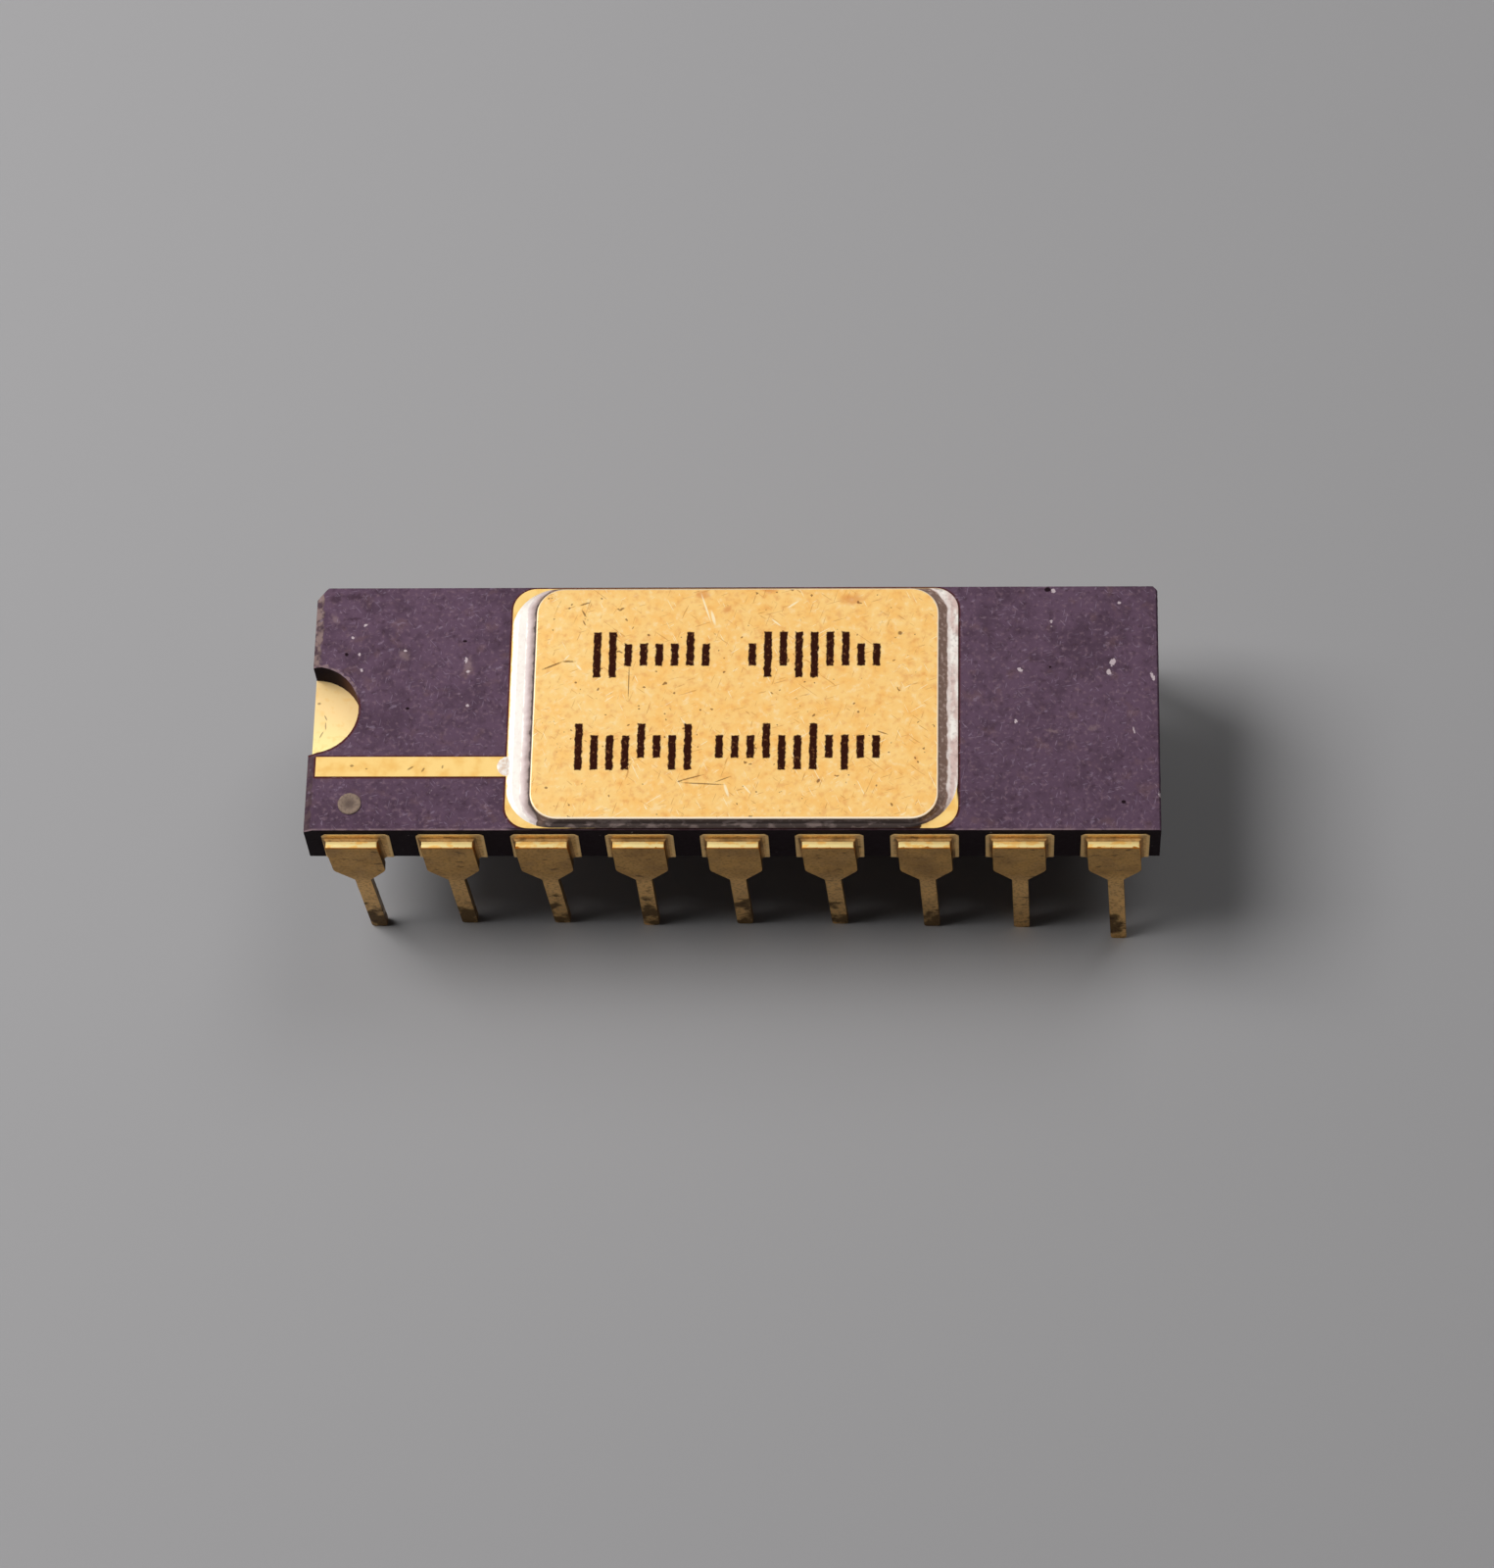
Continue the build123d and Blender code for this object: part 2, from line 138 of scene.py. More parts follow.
def plain_floor():
    """The sheet that the package stands on."""
    bpy.ops.object.select_all(action="DESELECT")
    bpy.ops.mesh.primitive_plane_add(size=FLOOR_SIZE, location=(0, 0, 0))
    floor = bpy.context.object
    floor.name = "floor"
    paint = bpy.data.materials.new("floor_paint")
    paint.use_nodes = True
    shader = paint.node_tree.nodes["Principled BSDF"]
    shader.inputs["Base Color"].default_value = FLOOR_COLOUR
    shader.inputs["Roughness"].default_value = FLOOR_ROUGHNESS
    shader.inputs["Specular IOR Level"].default_value = FLOOR_SPECULAR
    floor.data.materials.append(paint)
    return floor


floor = plain_floor()
print("floor", FLOOR_SIZE, "m wide")

# %% Hang the lamps and set the world
WORLD_COLOUR = (1.0, 1.0, 1.0, 1)
DIFFUSE_WORLD = 0.03
MIRRORED_WORLD = 0.95
LAMPS = {
    "main": ((-104, 27, 158), 104, 0.36, False),
    "back": ((70, 150, 205), 120, 0.15, False),
    "panel": ((-420, 180, 300), 420, 0.45, True),
}


def soft_lamp(name, place, size, power, mirrored):
    """A square lamp that faces the package. Metal shows it if mirrored is true."""
    bpy.ops.object.light_add(type="AREA", location=Vector(place) * MM)
    lamp = bpy.context.object
    lamp.name = name
    lamp.data.size = size * MM
    lamp.data.energy = power
    lamp.visible_glossy = mirrored
    lamp.rotation_euler = (-lamp.location).to_track_quat("-Z", "Y").to_euler()
    return lamp


def even_world():
    """A plain world, brighter where the eye or a mirrored ray meets it."""
    world = bpy.data.worlds.new("studio")
    bpy.context.scene.world = world
    world.use_nodes = True
    tree = world.node_tree
    background = tree.nodes["Background"]
    background.inputs["Color"].default_value = WORLD_COLOUR
    path = tree.nodes.new("ShaderNodeLightPath")
    seen = path.outputs["Is Camera Ray"]
    for ray in ("Is Glossy Ray", "Is Transmission Ray"):
        either = tree.nodes.new("ShaderNodeMath")
        either.operation = "MAXIMUM"
        tree.links.new(seen, either.inputs[0])
        tree.links.new(path.outputs[ray], either.inputs[1])
        seen = either.outputs[0]
    strength = tree.nodes.new("ShaderNodeMapRange")
    strength.inputs["To Min"].default_value = DIFFUSE_WORLD
    strength.inputs["To Max"].default_value = MIRRORED_WORLD
    tree.links.new(seen, strength.inputs["Value"])
    tree.links.new(strength.outputs[0], background.inputs["Strength"])


for name, (place, size, power, mirrored) in LAMPS.items():
    soft_lamp(name, place, size, power, mirrored)
even_world()
bpy.context.scene.view_settings.view_transform = "Standard"
print("lamps:", ", ".join(LAMPS))

# %% [markdown]
# ## A small kit for finishes
#
# Every finish here is one Principled shader. What is the same all over is set on the shader's own
# sockets, and what varies comes from a few nodes that repeat: noise of a given size, a threshold that
# makes a patch of it, a patch at a chosen place, and a mix of two colours. All of them read Object
# coordinates, so that a pattern stays on its piece from every side. The helpers below wrap those
# nodes, with sizes in millimetres.

# %% A finish and its nodes
def hue(red, green, blue):
    """A colour as a picture editor gives it, from 0 to 255, as the linear colour that a shader wants."""
    shares = (level / 255 for level in (red, green, blue))
    linear = (s / 12.92 if s <= 0.04045 else ((s + 0.055) / 1.055) ** 2.4 for s in shares)
    return (*linear, 1)


def new_finish(name, colour, metallic, roughness):
    """A material with those plain values, named after the record's material slot."""
    finish = bpy.data.materials.new(name + "_finish")
    finish.use_nodes = True
    shader = finish.node_tree.nodes["Principled BSDF"]
    shader.inputs["Base Color"].default_value = colour
    shader.inputs["Metallic"].default_value = metallic
    shader.inputs["Roughness"].default_value = roughness
    return finish


def add_node(finish, kind, inputs, **settings):
    """A node with those settings, whose inputs are numbers, colours or other nodes' outputs."""
    node = finish.node_tree.nodes.new(kind)
    for name, value in settings.items():
        setattr(node, name, value)
    for socket, value in inputs.items():
        if isinstance(value, bpy.types.NodeSocket):
            finish.node_tree.links.new(value, node.inputs[socket])
        else:
            node.inputs[socket].default_value = value
    return node


def to_shader(finish, socket, value):
    """Links an output to a socket of the finish's shader."""
    finish.node_tree.links.new(value, finish.node_tree.nodes["Principled BSDF"].inputs[socket])


def set_specular(finish, level):
    """How strongly the finish mirrors where it isn't metal. Old, dusty surfaces mirror little."""
    finish.node_tree.nodes["Principled BSDF"].inputs["Specular IOR Level"].default_value = level


def object_place(finish):
    """Object coordinates, from one node that the whole finish shares."""
    for node in finish.node_tree.nodes:
        if node.type == "TEX_COORD":
            return node.outputs["Object"]
    return add_node(finish, "ShaderNodeTexCoord", {}).outputs["Object"]


print("purple in linear light:", [round(level, 3) for level in hue(88, 70, 88)[:3]])

# %% [markdown]
# Most of what varies is noise. Alone it makes clouds, with a threshold it makes spots, and drawn out
# and turned it makes hair-thin scratches. A mix of two colours, masked by any of these, lays one coat
# over another.

# %% Noise and coats
HAIR_WIDTH = 0.045


def noise(finish, size, detail=3.0, stretch=(1, 1, 1), shift=0, turn=0):
    """Noise whose blobs are about that many millimetres across, drawn out by stretch and then turned."""
    place = add_node(
        finish, "ShaderNodeMapping",
        {
            "Vector": object_place(finish),
            "Location": [shift * size * MM] * 3,
            "Rotation": (0, 0, math.radians(turn)),
            "Scale": [size * MM * factor for factor in stretch],
        },
        vector_type="TEXTURE",
    )
    cloud = add_node(
        finish, "ShaderNodeTexNoise",
        {"Vector": place.outputs[0], "Scale": 1.0, "Detail": detail},
    )
    return cloud.outputs[0]


def patch(finish, value, low, high):
    """0 where the value is under low, 1 where it is over high, and smooth between."""
    step = add_node(
        finish, "ShaderNodeMapRange",
        {"Value": value, "From Min": low, "From Max": high},
        interpolation_type="SMOOTHSTEP",
    )
    return step.outputs[0]


def spots(finish, low, high, size, detail=3.0, **shape):
    """The blobs of noise of that size: 0 where the noise is under low, 1 where it is over high."""
    return patch(finish, noise(finish, size, detail, **shape), low, high)


def spread(finish, value, least, most):
    """Turns a value from 0 to 1 into one from least to most."""
    return add_node(
        finish, "ShaderNodeMapRange", {"Value": value, "To Min": least, "To Max": most}
    ).outputs[0]


def both(finish, first, second, operation="MULTIPLY"):
    """Two values joined by one operation, which multiplies them unless another is named."""
    return add_node(finish, "ShaderNodeMath", {0: first, 1: second}, operation=operation).outputs[0]


def coat(finish, under, over, mask, share=1.0):
    """The colour under, covered by that share of the colour over where the mask is 1."""
    if share != 1.0:
        mask = spread(finish, mask, 0, share)
    mix = add_node(finish, "ShaderNodeMix", {0: mask, 6: under, 7: over}, data_type="RGBA")
    return mix.outputs[2]


def coats(finish, colour, *layers):
    """The colour under one layer after another, each a colour, its mask and, if not all, its share."""
    for layer in layers:
        colour = coat(finish, colour, *layer)
    return colour


def bump(finish, height, depth):
    """Raises the surface by up to depth millimetres where height is 1."""
    relief = add_node(
        finish, "ShaderNodeBump", {"Height": height, "Distance": depth * MM, "Strength": 1.0}
    )
    to_shader(finish, "Normal", relief.outputs[0])


def union(finish, masks):
    """1 where any of the masks is."""
    whole = masks[0]
    for mask in masks[1:]:
        whole = both(finish, whole, mask, "MAXIMUM")
    return whole


def fine_scratches(finish, turns, length, least):
    """Hair-thin lines of that length, in each of the directions turns, where noise passes least."""
    stretch = (length / HAIR_WIDTH, 1, 1)
    lines = [
        spots(finish, least, least + 0.03, HAIR_WIDTH, 1, stretch=stretch, shift=turn, turn=turn)
        for turn in turns
    ]
    return union(finish, lines)


def inverse(finish, mask):
    """1 where the mask is 0, and 0 where it is 1."""
    return spread(finish, mask, 1, 0)


print("hairs:", HAIR_WIDTH, "mm wide")

# %% [markdown]
# Other marks have a place of their own. An ellipse at a chosen point is a chip or a stain, and a long
# thin one is a scratch. A step on a coordinate, on the way that a face looks, or on the distance from
# a rounded rectangle keeps a colour to one part of a piece.

# %% Marks and places
def mark(finish, middle, size, turn=0, ragged=0.0, edge=0.3):
    """1 in an ellipse of that size round the point middle (x, y), turned by that many degrees, and 0
    outside it. A long thin one is a scratch. ragged tears its outline."""
    x, y = middle
    place = add_node(
        finish, "ShaderNodeMapping",
        {
            "Vector": object_place(finish),
            "Location": (x * MM, y * MM, 0),
            "Rotation": (0, 0, math.radians(turn)),
            "Scale": (size[0] * MM / 2, size[1] * MM / 2, 1),
        },
        vector_type="TEXTURE",
    )
    inside = add_node(
        finish, "ShaderNodeTexGradient", {"Vector": place.outputs[0]}, gradient_type="SPHERICAL"
    ).outputs[1]
    if not ragged:
        return patch(finish, inside, 0.02, edge)
    torn = spread(finish, noise(finish, min(size) / 2), -ragged, ragged)
    ragged_patch = patch(finish, both(finish, inside, torn, "ADD"), 0.02, edge)
    return both(finish, ragged_patch, patch(finish, inside, 0, 0.1))


def marks(finish, places, ragged=0.0, edge=0.3):
    """1 in any of those marks, each a middle, a size and a turn."""
    return union(finish, [mark(finish, *place, ragged=ragged, edge=edge) for place in places])


def place_along(finish, axis):
    """One of the three object coordinates, in millimetres."""
    parts = add_node(finish, "ShaderNodeSeparateXYZ", {"Vector": object_place(finish)})
    return both(finish, parts.outputs["XYZ".index(axis)], 1 / MM)


def past(finish, axis, low, high):
    """0 where that object coordinate is under low millimetres, 1 where it is over high. With low the
    greater of the two it falls instead of rising."""
    return patch(finish, place_along(finish, axis), low, high)


def facing(finish, axis, least, most):
    """0 where the face's normal leans along that axis by less than least, 1 where by more than most."""
    coordinates = object_place(finish).node
    parts = add_node(finish, "ShaderNodeSeparateXYZ", {"Vector": coordinates.outputs["Normal"]})
    return patch(finish, parts.outputs["XYZ".index(axis)], least, most)


def outside(finish, middle, size, radius):
    """How many millimetres a point is from a rectangle with rounded corners, seen from above."""
    start = add_node(
        finish, "ShaderNodeVectorMath",
        {0: object_place(finish), 1: (middle[0] * MM, middle[1] * MM, 0)},
        operation="SUBTRACT",
    )
    folded = add_node(finish, "ShaderNodeVectorMath", {0: start.outputs[0]}, operation="ABSOLUTE")
    core = (size[0] * MM / 2 - radius * MM, size[1] * MM / 2 - radius * MM, 1)
    beyond = add_node(
        finish, "ShaderNodeVectorMath", {0: folded.outputs[0], 1: core}, operation="SUBTRACT"
    )
    positive = add_node(
        finish, "ShaderNodeVectorMath", {0: beyond.outputs[0], 1: (0, 0, 0)}, operation="MAXIMUM"
    )
    length = add_node(finish, "ShaderNodeVectorMath", {0: positive.outputs[0]}, operation="LENGTH")
    millimetres = both(finish, length.outputs["Value"], 1 / MM)
    return both(finish, millimetres, -radius, "ADD")


print("mark and place helpers ready")

# %% [markdown]
# ## The ceramic
#
# The body is alumina, coloured violet-brown in the paste and fired: matt, a little speckled, with
# pale chips where knocks have opened it and a few dark pits. Its grain is about a tenth of a
# millimetre across. The finish mixes several sizes of noise for the speckle and sets the largest
# chips where the real ones are. The sides are darker than the top as painted shade, and the near
# one is nearly black with painted shade and grime. The printed metal has bled a thin brown line into
# the surface round it, and the edges are rubbed brown or chipped. All of these follow from where a
# point is, or from which way its face looks.

# %% Measure the body and its prints
BODY_LOW, BODY_HIGH = in_millimetres(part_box("ceramic_body"))
SEAL_LOW, SEAL_HIGH = in_millimetres(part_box("solder_seal"))
LID_LOW, LID_HIGH = in_millimetres(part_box("lid"))
TOP = BODY_HIGH[2]
RING_MIDDLE = ((SEAL_LOW[0] + SEAL_HIGH[0]) / 2, 0)
RING_SIZE = (SEAL_HIGH[0] - SEAL_LOW[0] + 0.02, SEAL_HIGH[1] - SEAL_LOW[1] + 0.02)
RING_RADIUS = 0.65
STRIPE_END = BODY_LOW[0] + 0.24
STRIPE_MIDDLE = ((STRIPE_END + SEAL_LOW[0]) / 2, -1.7725)
STRIPE_SIZE = (SEAL_LOW[0] - STRIPE_END, 0.585)
NOTCH_MIDDLE = (BODY_LOW[0], -0.05)
NOTCH_RADIUS = 1.31
NOTCH_FLOOR_TOP = in_millimetres(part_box("notch_floor"))[1][2]
print("the ceramic's top is", round(TOP, 2), "mm up")

# %% The ceramic's colours and marks
CERAMIC_VIOLET = hue(92, 71, 88)
CERAMIC_DARK = hue(76, 58, 72)
CERAMIC_PINK = hue(120, 97, 108)
CERAMIC_BROWN = hue(102, 78, 82)
# Painted shade: the sides' colour is darker than the top's.
CERAMIC_SIDE_SHADE = hue(66, 49, 59)
# Painted shade with some grime: the face looking to the near side is painted nearly black.
NEAR_SIDE_SHADE_AND_GRIME = hue(26, 16, 20)
NOTCH_BROWN = hue(74, 46, 36)
SIDE_CRUMB = hue(132, 122, 120)
BEVEL_DARK = hue(56, 40, 48)
RIM_BROWN = hue(128, 106, 110)
WORN_PINK = hue(148, 124, 124)
RUBBED_BROWN = hue(146, 124, 118)
BLEED_BROWN = hue(74, 30, 24)
FLECK_GREY = hue(160, 142, 162)
CHIP_PALE = hue(196, 180, 184)
PIT_DARK = hue(30, 18, 24)
CHIPS = (
    ((10.13, 1.34), (0.17, 0.28), -15),
    ((10.04, 1.03), (0.16, 0.22), 10),
    ((7.64, 1.12), (0.18, 0.13), -20),
    ((11.20, 0.92), (0.12, 0.30), 15),
    ((11.36, -2.60), (0.14, 0.20), 20),
    ((10.68, -0.70), (0.05, 0.24), 12),
    ((7.52, -0.43), (0.10, 0.14), 0),
    ((8.49, 2.58), (0.09, 0.12), 0),
    ((10.32, 3.15), (0.12, 0.10), 0),
    ((8.55, 3.52), (0.14, 0.16), 0),
    ((-10.16, 2.51), (0.14, 0.08), 30),
    ((-10.49, 2.13), (0.10, 0.10), 0),
    ((-10.28, 1.62), (0.08, 0.12), 0),
    ((-10.20, 1.14), (0.08, 0.14), 20),
    ((-9.03, 1.73), (0.10, 0.08), 0),
    ((-7.36, 1.45), (0.09, 0.22), 0),
    ((-7.29, 1.10), (0.14, 0.09), 0),
    ((-7.27, 0.07), (0.09, 0.10), 0),
)
PITS = (
    ((-10.63, 1.62), (0.12, 0.12), 0),
    ((-8.89, -0.02), (0.12, 0.10), 0),
    ((-7.42, 2.02), (0.13, 0.09), 0),
    ((8.40, 3.55), (0.22, 0.16), 0),
    ((10.38, -2.82), (0.14, 0.12), 0),
    ((8.45, 1.20), (0.08, 0.07), 0),
)
SMEARS = (
    ((-10.95, 3.30), (0.50, 0.60), 0),
    ((-10.50, 3.38), (1.00, 0.30), 0),
    ((-10.55, 2.70), (0.90, 0.14), 4),
)
RUBS = (
    ((-11.00, 2.70), (0.30, 0.50), 6),
    ((-7.30, 1.25), (0.34, 0.90), 0),
    ((-9.05, 1.60), (0.40, 0.50), 0),
    ((9.60, -0.62), (0.50, 0.22), 10),
    ((8.50, -0.72), (0.60, 0.16), -8),
)
print("ceramic:", len(CHIPS), "chips and", len(PITS), "pits set by place")


# %% Where the ceramic is worn and stained
def end_bevel(finish):
    """1 on the bevel of the notched end, with a wandering border."""
    wander = spread(finish, noise(finish, 0.26, 5, shift=5), -0.16, 0.14)
    along = both(finish, place_along(finish, "X"), wander, "ADD")
    return patch(finish, along, STRIPE_END - 0.02, STRIPE_END - 0.08)


def worn_end(finish):
    """The end bevel, rubbed brown in patches, most of them beyond the notch."""
    patches = spread(finish, spots(finish, 0.40, 0.60, 0.22, 5, shift=31), 0.1, 1.0)
    far_share = spread(finish, past(finish, "Y", -1.6, 1.2), 0.15, 0.7)
    return both(finish, end_bevel(finish), both(finish, patches, far_share))


def notch_distance(finish):
    """How many millimetres a point is outside the notch's half circle."""
    return outside(finish, NOTCH_MIDDLE, (2 * NOTCH_RADIUS, 2 * NOTCH_RADIUS), NOTCH_RADIUS)


def worn_rim(finish):
    """The near top edge, rubbed in places, and the far arc of the notch, chipped."""
    near = past(finish, "Y", BODY_LOW[1] + 0.07, BODY_LOW[1] + 0.03)
    broken = spots(finish, 0.40, 0.56, 0.30, 4, shift=13)
    beyond = past(finish, "Y", 0.25, 0.6)
    torn = spread(finish, noise(finish, 0.16, 4, shift=21), -0.12, 0.12)
    arc = patch(finish, both(finish, notch_distance(finish), torn, "ADD"), 0.09, 0.05)
    far_arc = both(finish, arc, beyond)
    ragged = spread(finish, spots(finish, 0.42, 0.54, 0.16, 3, shift=19), 0.3, 1.0)
    rubbed_near = both(finish, near, spread(finish, broken, 0.2, 0.8))
    return union(finish, [rubbed_near, both(finish, far_arc, ragged)])


def ring_distance(finish):
    """How many millimetres a point is outside the printed ring."""
    return outside(finish, RING_MIDDLE, RING_SIZE, RING_RADIUS)


def bled_line(finish):
    """The thin brown line round the printed ring, the stripe and the notch."""
    ring = patch(finish, ring_distance(finish), 0.07, 0.03)
    stripe = patch(finish, outside(finish, STRIPE_MIDDLE, STRIPE_SIZE, 0.01), 0.07, 0.03)
    notch = patch(finish, notch_distance(finish), 0.08, 0.04)
    near_arc = both(finish, notch, past(finish, "Y", 0.6, 0.1))
    return union(finish, [ring, stripe, near_arc])


def front_lip(finish):
    """The narrow lip of ceramic in front of the ring, stained dark by the flux."""
    lip = past(finish, "Y", BODY_LOW[1] + 0.09, BODY_LOW[1] + 0.06)
    return both(finish, lip, patch(finish, ring_distance(finish), 0.30, 0.10))


print("wear helpers ready")


# %% Put the ceramic's finish together
def ceramic_finish():
    """Matt ceramic: the top under its coats of wear, and sides darkened by painted shade, the near one
    nearly black with painted shade and grime.
    """
    finish = new_finish("purple_ceramic", CERAMIC_VIOLET, 0.0, 0.5)
    set_specular(finish, 0.04)
    clouds = both(finish, noise(finish, 1.6, 3), noise(finish, 0.35, 6, shift=11), "ADD")
    grain = noise(finish, 0.12, 5, shift=4)
    flecks = spots(finish, 0.64, 0.74, 0.15, 3, stretch=(1.6, 1, 1), shift=37, turn=25)
    hairs = fine_scratches(finish, (12, -50, 80), 0.3, 0.71)
    top = coats(
        finish, CERAMIC_DARK,
        (CERAMIC_VIOLET, patch(finish, clouds, 0.76, 1.16)),
        (CERAMIC_DARK, past(finish, "Y", 1.0, -2.5), 0.28),
        (CERAMIC_BROWN, spots(finish, 0.56, 0.72, 0.45, 5, shift=27), 0.5),
        (CERAMIC_PINK, patch(finish, grain, 0.52, 0.72), 0.6),
        (BEVEL_DARK, spots(finish, 0.54, 0.70, 0.14, 5, shift=9), 0.45),
        (WORN_PINK, marks(finish, RUBS, ragged=0.8, edge=0.9), 0.4),
        (BEVEL_DARK, marks(finish, SMEARS, ragged=1.2, edge=0.9), 0.6),
        (BEVEL_DARK, end_bevel(finish), 0.8),
        (RUBBED_BROWN, worn_end(finish)),
        (BLEED_BROWN, bled_line(finish), 0.85),
        (RIM_BROWN, worn_rim(finish)),
        (FLECK_GREY, union(finish, [flecks, hairs]), 0.28),
        (PIT_DARK, front_lip(finish), 0.85),
        (CHIP_PALE, spots(finish, 0.74, 0.80, 0.20, 3, shift=17), 0.45),
        (CHIP_PALE, marks(finish, CHIPS, ragged=1.3), 0.8),
        (PIT_DARK, marks(finish, PITS, ragged=0.3)),
    )
    above_floor = past(finish, "Z", NOTCH_FLOOR_TOP - 0.04, NOTCH_FLOOR_TOP)
    notch_wall = both(finish, patch(finish, notch_distance(finish), 0.03, 0.01), above_floor)
    # The sides carry painted shade: darker than the top wherever the face turns from level.
    side = coats(
        finish, CERAMIC_SIDE_SHADE,
        (BEVEL_DARK, spots(finish, 0.42, 0.70, 0.4, 6, shift=23)),
        (NOTCH_BROWN, notch_wall),
        # painted shade and grime: the near face is painted nearly black
        (NEAR_SIDE_SHADE_AND_GRIME, facing(finish, "Y", -0.6, -0.9)),
        (SIDE_CRUMB, spots(finish, 0.70, 0.76, 0.24, 4, shift=33), 0.8),
    )
    to_shader(finish, "Base Color", coat(finish, side, top, facing(finish, "Z", 0.25, 0.6)))
    to_shader(finish, "Roughness", spread(finish, grain, 0.45, 0.7))
    bump(finish, noise(finish, 0.16, 5, shift=2), 0.003)
    return finish


ceramic = ceramic_finish()
print("ceramic:", len(ceramic.node_tree.nodes), "nodes in its finish")

# %% [markdown]
# ## Gold in four states
#
# All the bright metal here is a thin coat of gold, and it still looks different on every piece. The
# lid is stamped and satin, with a painted cream highlight along its rounded edge, fine scratches and
# a few amber stains. The printed ring and stripe are plated on a sintered print, so they are grainy.
# The pads and leads have been handled, heated and stored for decades: their gold is duller, brown
# residue sits on the tips, and the upward edges of the leads carry a painted highlight.

# %% The lid's colours and marks
LID_GOLD = hue(255, 214, 139)
LID_DEEP = hue(249, 194, 110)
LID_STAIN = hue(214, 130, 66)
# Painted shade: the lid's upright wall is painted dark brown.
LID_WALL_SHADE = hue(96, 74, 58)
# Painted highlight: the lid's rounded rim is painted cream.
RIM_HIGHLIGHT_CREAM = hue(255, 236, 206)
SPECK_BROWN = hue(92, 48, 18)
SCRATCH_PALE = hue(255, 240, 200)
SCRATCH_BROWN = hue(196, 138, 72)
LID_STAINS = (
    ((-0.94, 3.25), (0.55, 0.40), 0),
    ((-0.29, 2.80), (0.45, 0.25), 30),
    ((0.84, 3.39), (0.60, 0.30), 0),
    ((3.10, 3.10), (0.90, 0.45), 0),
)
LID_SPECKS = (
    ((4.41, 2.07), (0.16, 0.14), 0),
    ((2.25, -2.35), (0.18, 0.10), 60),
    ((2.10, -0.40), (0.15, 0.08), 50),
    ((3.30, -0.30), (0.09, 0.09), 0),
    ((-5.02, -2.55), (0.12, 0.09), 0),
    ((-2.60, -0.20), (0.08, 0.06), 0),
    ((-1.90, -0.35), (0.07, 0.06), 0),
)
DARK_SCRATCHES = (
    ((-4.99, 1.10), (0.75, 0.07), 24),
    ((-4.55, 1.23), (0.45, 0.07), 0),
    ((-4.17, 2.68), (0.30, 0.07), -60),
    ((-4.16, 2.98), (0.36, 0.07), 20),
    ((-4.16, 2.40), (0.22, 0.05), -65),
    ((-1.16, -2.26), (0.85, 0.05), 16),
    ((-0.83, -2.43), (1.50, 0.05), -3),
    ((-0.30, -2.30), (0.60, 0.04), 22),
    ((3.95, -0.92), (0.40, 0.05), -20),
    ((-2.90, 0.60), (0.04, 1.30), 0),
)
PALE_SCRATCHES = (
    ((-4.26, 1.05), (0.30, 0.09), -50),
    ((-0.86, 2.85), (1.20, 0.07), -72),
    ((-0.66, 2.55), (0.60, 0.12), -75),
    ((-0.20, -2.62), (0.55, 0.11), -72),
    ((0.35, -2.60), (0.45, 0.07), -50),
    ((1.50, 2.95), (0.50, 0.08), 35),
    ((1.05, 2.40), (0.45, 0.06), -40),
    ((-4.60, 1.35), (0.30, 0.05), 50),
)
print("lid:", len(DARK_SCRATCHES) + len(PALE_SCRATCHES), "scratches")

# %% [markdown]
# The lid carries a stamp: two rows of upright strokes in dark brown ink, as high as a stamp of this
# kind and with the slightly torn outline that ink leaves on metal. It lies flat on the gold, so it
# belongs to the lid's finish and not to its shape. The strokes repeat at one pitch, so a single
# ping-pong sum gives the distance to the nearest of them, and white noise on the stroke's number
# decides how far it reaches up and down.

# %% The stamp's two rows
STAMP_BROWN = hue(46, 19, 11)
STAMP_CRUMB = hue(120, 78, 48)
STROKE_PITCH = 0.42
STROKE_WIDTH = 0.21
STROKE_REACH = (0.34, 0.69)
STAMP_ROWS = (
    (1.43, 3, ((-9, -2), (1, 9))),
    (-1.33, 60, ((-10, -3), (-1, 9))),
)


def chance(finish, number):
    """0 or 1, by chance, for each whole number."""
    value = add_node(finish, "ShaderNodeTexWhiteNoise", {"W": number}, noise_dimensions="1D").outputs[0]
    return both(finish, value, 0.5, "GREATER_THAN")


def stamp_row(finish, y, seed, groups):
    """1 on the strokes of one row. A group is its first and its last stroke's number."""
    tear = spread(finish, noise(finish, 0.13, 4, shift=44), -0.05, 0.05)
    along = place_along(finish, "X")
    from_stroke = both(finish, both(finish, along, STROKE_PITCH / 2, "PINGPONG"), tear, "ADD")
    ink = patch(finish, from_stroke, STROKE_WIDTH / 2 + 0.02, STROKE_WIDTH / 2 - 0.02)
    number = both(finish, both(finish, along, STROKE_PITCH, "DIVIDE"), 0, "ROUND")
    across = both(finish, both(finish, place_along(finish, "Y"), -y, "ADD"), tear, "ADD")
    for way, shift in ((1, 0), (-1, 100)):
        reach = spread(finish, chance(finish, both(finish, number, seed + shift, "ADD")), *STROKE_REACH)
        past_end = both(finish, both(finish, across, way), reach, "SUBTRACT")
        ink = both(finish, ink, patch(finish, past_end, 0.02, -0.02))
    spans = [
        both(
            finish,
            both(finish, along, (first - 0.5) * STROKE_PITCH, "GREATER_THAN"),
            both(finish, along, (last + 0.5) * STROKE_PITCH, "LESS_THAN"),
        )
        for first, last in groups
    ]
    return both(finish, ink, union(finish, spans))


stroke_counts = [last - first + 1 for *row, groups in STAMP_ROWS for first, last in groups]
print("stamp:", sum(stroke_counts), "strokes")


